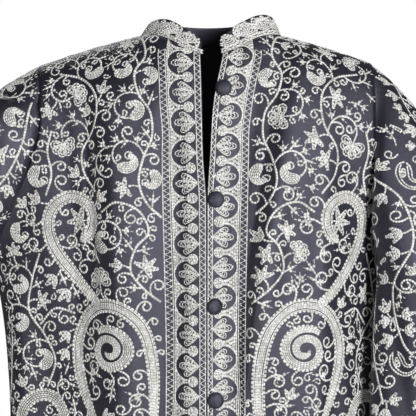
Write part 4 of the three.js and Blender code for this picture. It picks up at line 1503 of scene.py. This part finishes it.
def coveredButton(name):
    low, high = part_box(name)
    middle = np.array((low + high) / 2) / mm
    c = cloth["front_right"]
    near = np.linalg.norm(c["points"] - middle, axis=2)
    place = np.unravel_index(np.argmin(near), near.shape)
    normal = Vector(c["normals"][place])
    z = buttonSizes
    dome = [(math.cos(t), z["domeFoot"] + z["domeRise"] * math.sin(t))
            for t in np.linspace(0.28, 1.45, 9)]
    profile = z["profile"] + dome
    verts, faces = [(0, 0, z["hollow"] * z["height"])], []
    for k, (out, up) in enumerate(profile):
        for i in range(z["sides"]):
            turn = 2 * math.pi * i / z["sides"]
            tuck = z["tuck"] * math.cos(turn * z["tucks"]) * max(0, 1 - k / 3)
            radius = out * z["radius"] + tuck
            verts.append((radius * math.cos(turn), radius * math.sin(turn), up * z["height"]))
    verts.append((0, 0, z["height"]))
    last = len(verts) - 1
    for i in range(z["sides"]):
        after = (i + 1) % z["sides"]
        faces.append((0, 1 + after, 1 + i))
        for k in range(len(profile) - 1):
            base = 1 + k * z["sides"]
            faces.append((base + i, base + after, base + z["sides"] + after, base + z["sides"] + i))
        top = 1 + (len(profile) - 1) * z["sides"]
        faces.append((top + i, top + after, last))
    square = normal.to_track_quat("Z", "Y")
    base = Vector(middle) - normal * (z["height"] / 2)
    verts = [(base + square @ Vector(v)) * mm for v in verts]
    mesh = bpy.data.meshes.new(name)
    mesh.from_pydata(verts, [], faces)
    mesh.shade_smooth()
    mesh.materials.append(buttonSilk)
    piece = bpy.data.objects.new("covered_" + name, mesh)
    bpy.context.scene.collection.objects.link(piece)
    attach(piece, "root")
    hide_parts(name)


for k in range(1, 6):
    coveredButton(f"button_{k}")
print("buttons made")

# Studio: a soft key nearly level and a little to the right, a weak light behind, a pale floor under
# the hem, dim surroundings and a white backdrop that the camera alone sees
studio = {
    "camera": (-0.0036, -2.160, -0.202), "lens": 155.8,
    "key": (1.5, -3.65, 0.1), "keySize": 0.9, "keyPower": 184, "aim": (0, 0, -0.25),
    "behind": (-0.9, 2.3, 1.5), "behindPower": 16,
    "surround": 0.09, "floorZ": -0.74, "floorHalf": 2.2,
}
scene = bpy.context.scene
scene.view_settings.view_transform = "Standard"
world = bpy.data.worlds.new("surround")
world.use_nodes = True
worldTree = world.node_tree
glow = worldTree.nodes["Background"]
glow.inputs["Color"].default_value = (1, 1, 1, 1)
glow.inputs["Strength"].default_value = studio["surround"]
backdrop = addNode(worldTree, "ShaderNodeBackground", {"Color": (1, 1, 1, 1), "Strength": 1})
sight = addNode(worldTree, "ShaderNodeLightPath").outputs["Is Camera Ray"]
seen = addNode(worldTree, "ShaderNodeMixShader",
               {0: sight, 1: glow.outputs[0], 2: backdrop.outputs[0]})
worldTree.links.new(seen.outputs[0], worldTree.nodes["World Output"].inputs["Surface"])
scene.world = world


def areaLight(name, place, size, power):
    data = bpy.data.lights.new(name, "AREA")
    data.size, data.energy = size, power
    light = bpy.data.objects.new(name, data)
    light.location = place
    aim = Vector(studio["aim"]) - Vector(place)
    light.rotation_euler = aim.to_track_quat("-Z", "Y").to_euler()
    scene.collection.objects.link(light)


areaLight("key", studio["key"], studio["keySize"], studio["keyPower"])
areaLight("behind", studio["behind"], studio["keySize"], studio["behindPower"])
half, height = studio["floorHalf"], studio["floorZ"]
floorMesh = bpy.data.meshes.new("floor")
floorMesh.from_pydata([(-half, -half, height), (half, -half, height), (half, half, height),
                       (-half, half, height)], [], [(0, 1, 2, 3)])
floorPaint, _, floorShader = newMaterial("floorPaint", 0.9, 0, (1, 1, 1))
floorShader.inputs["Base Color"].default_value = (0.86, 0.86, 0.85, 1)
floorMesh.materials.append(floorPaint)
floor = bpy.data.objects.new("floor", floorMesh)
scene.collection.objects.link(floor)
cameraData = bpy.data.cameras.new("camera")
cameraData.lens = studio["lens"]
cameraData.sensor_width = 36
camera = bpy.data.objects.new("camera", cameraData)
camera.location = studio["camera"]
camera.rotation_euler = (rightAngle, 0, 0)
scene.collection.objects.link(camera)
scene.camera = camera

print("scene ready")
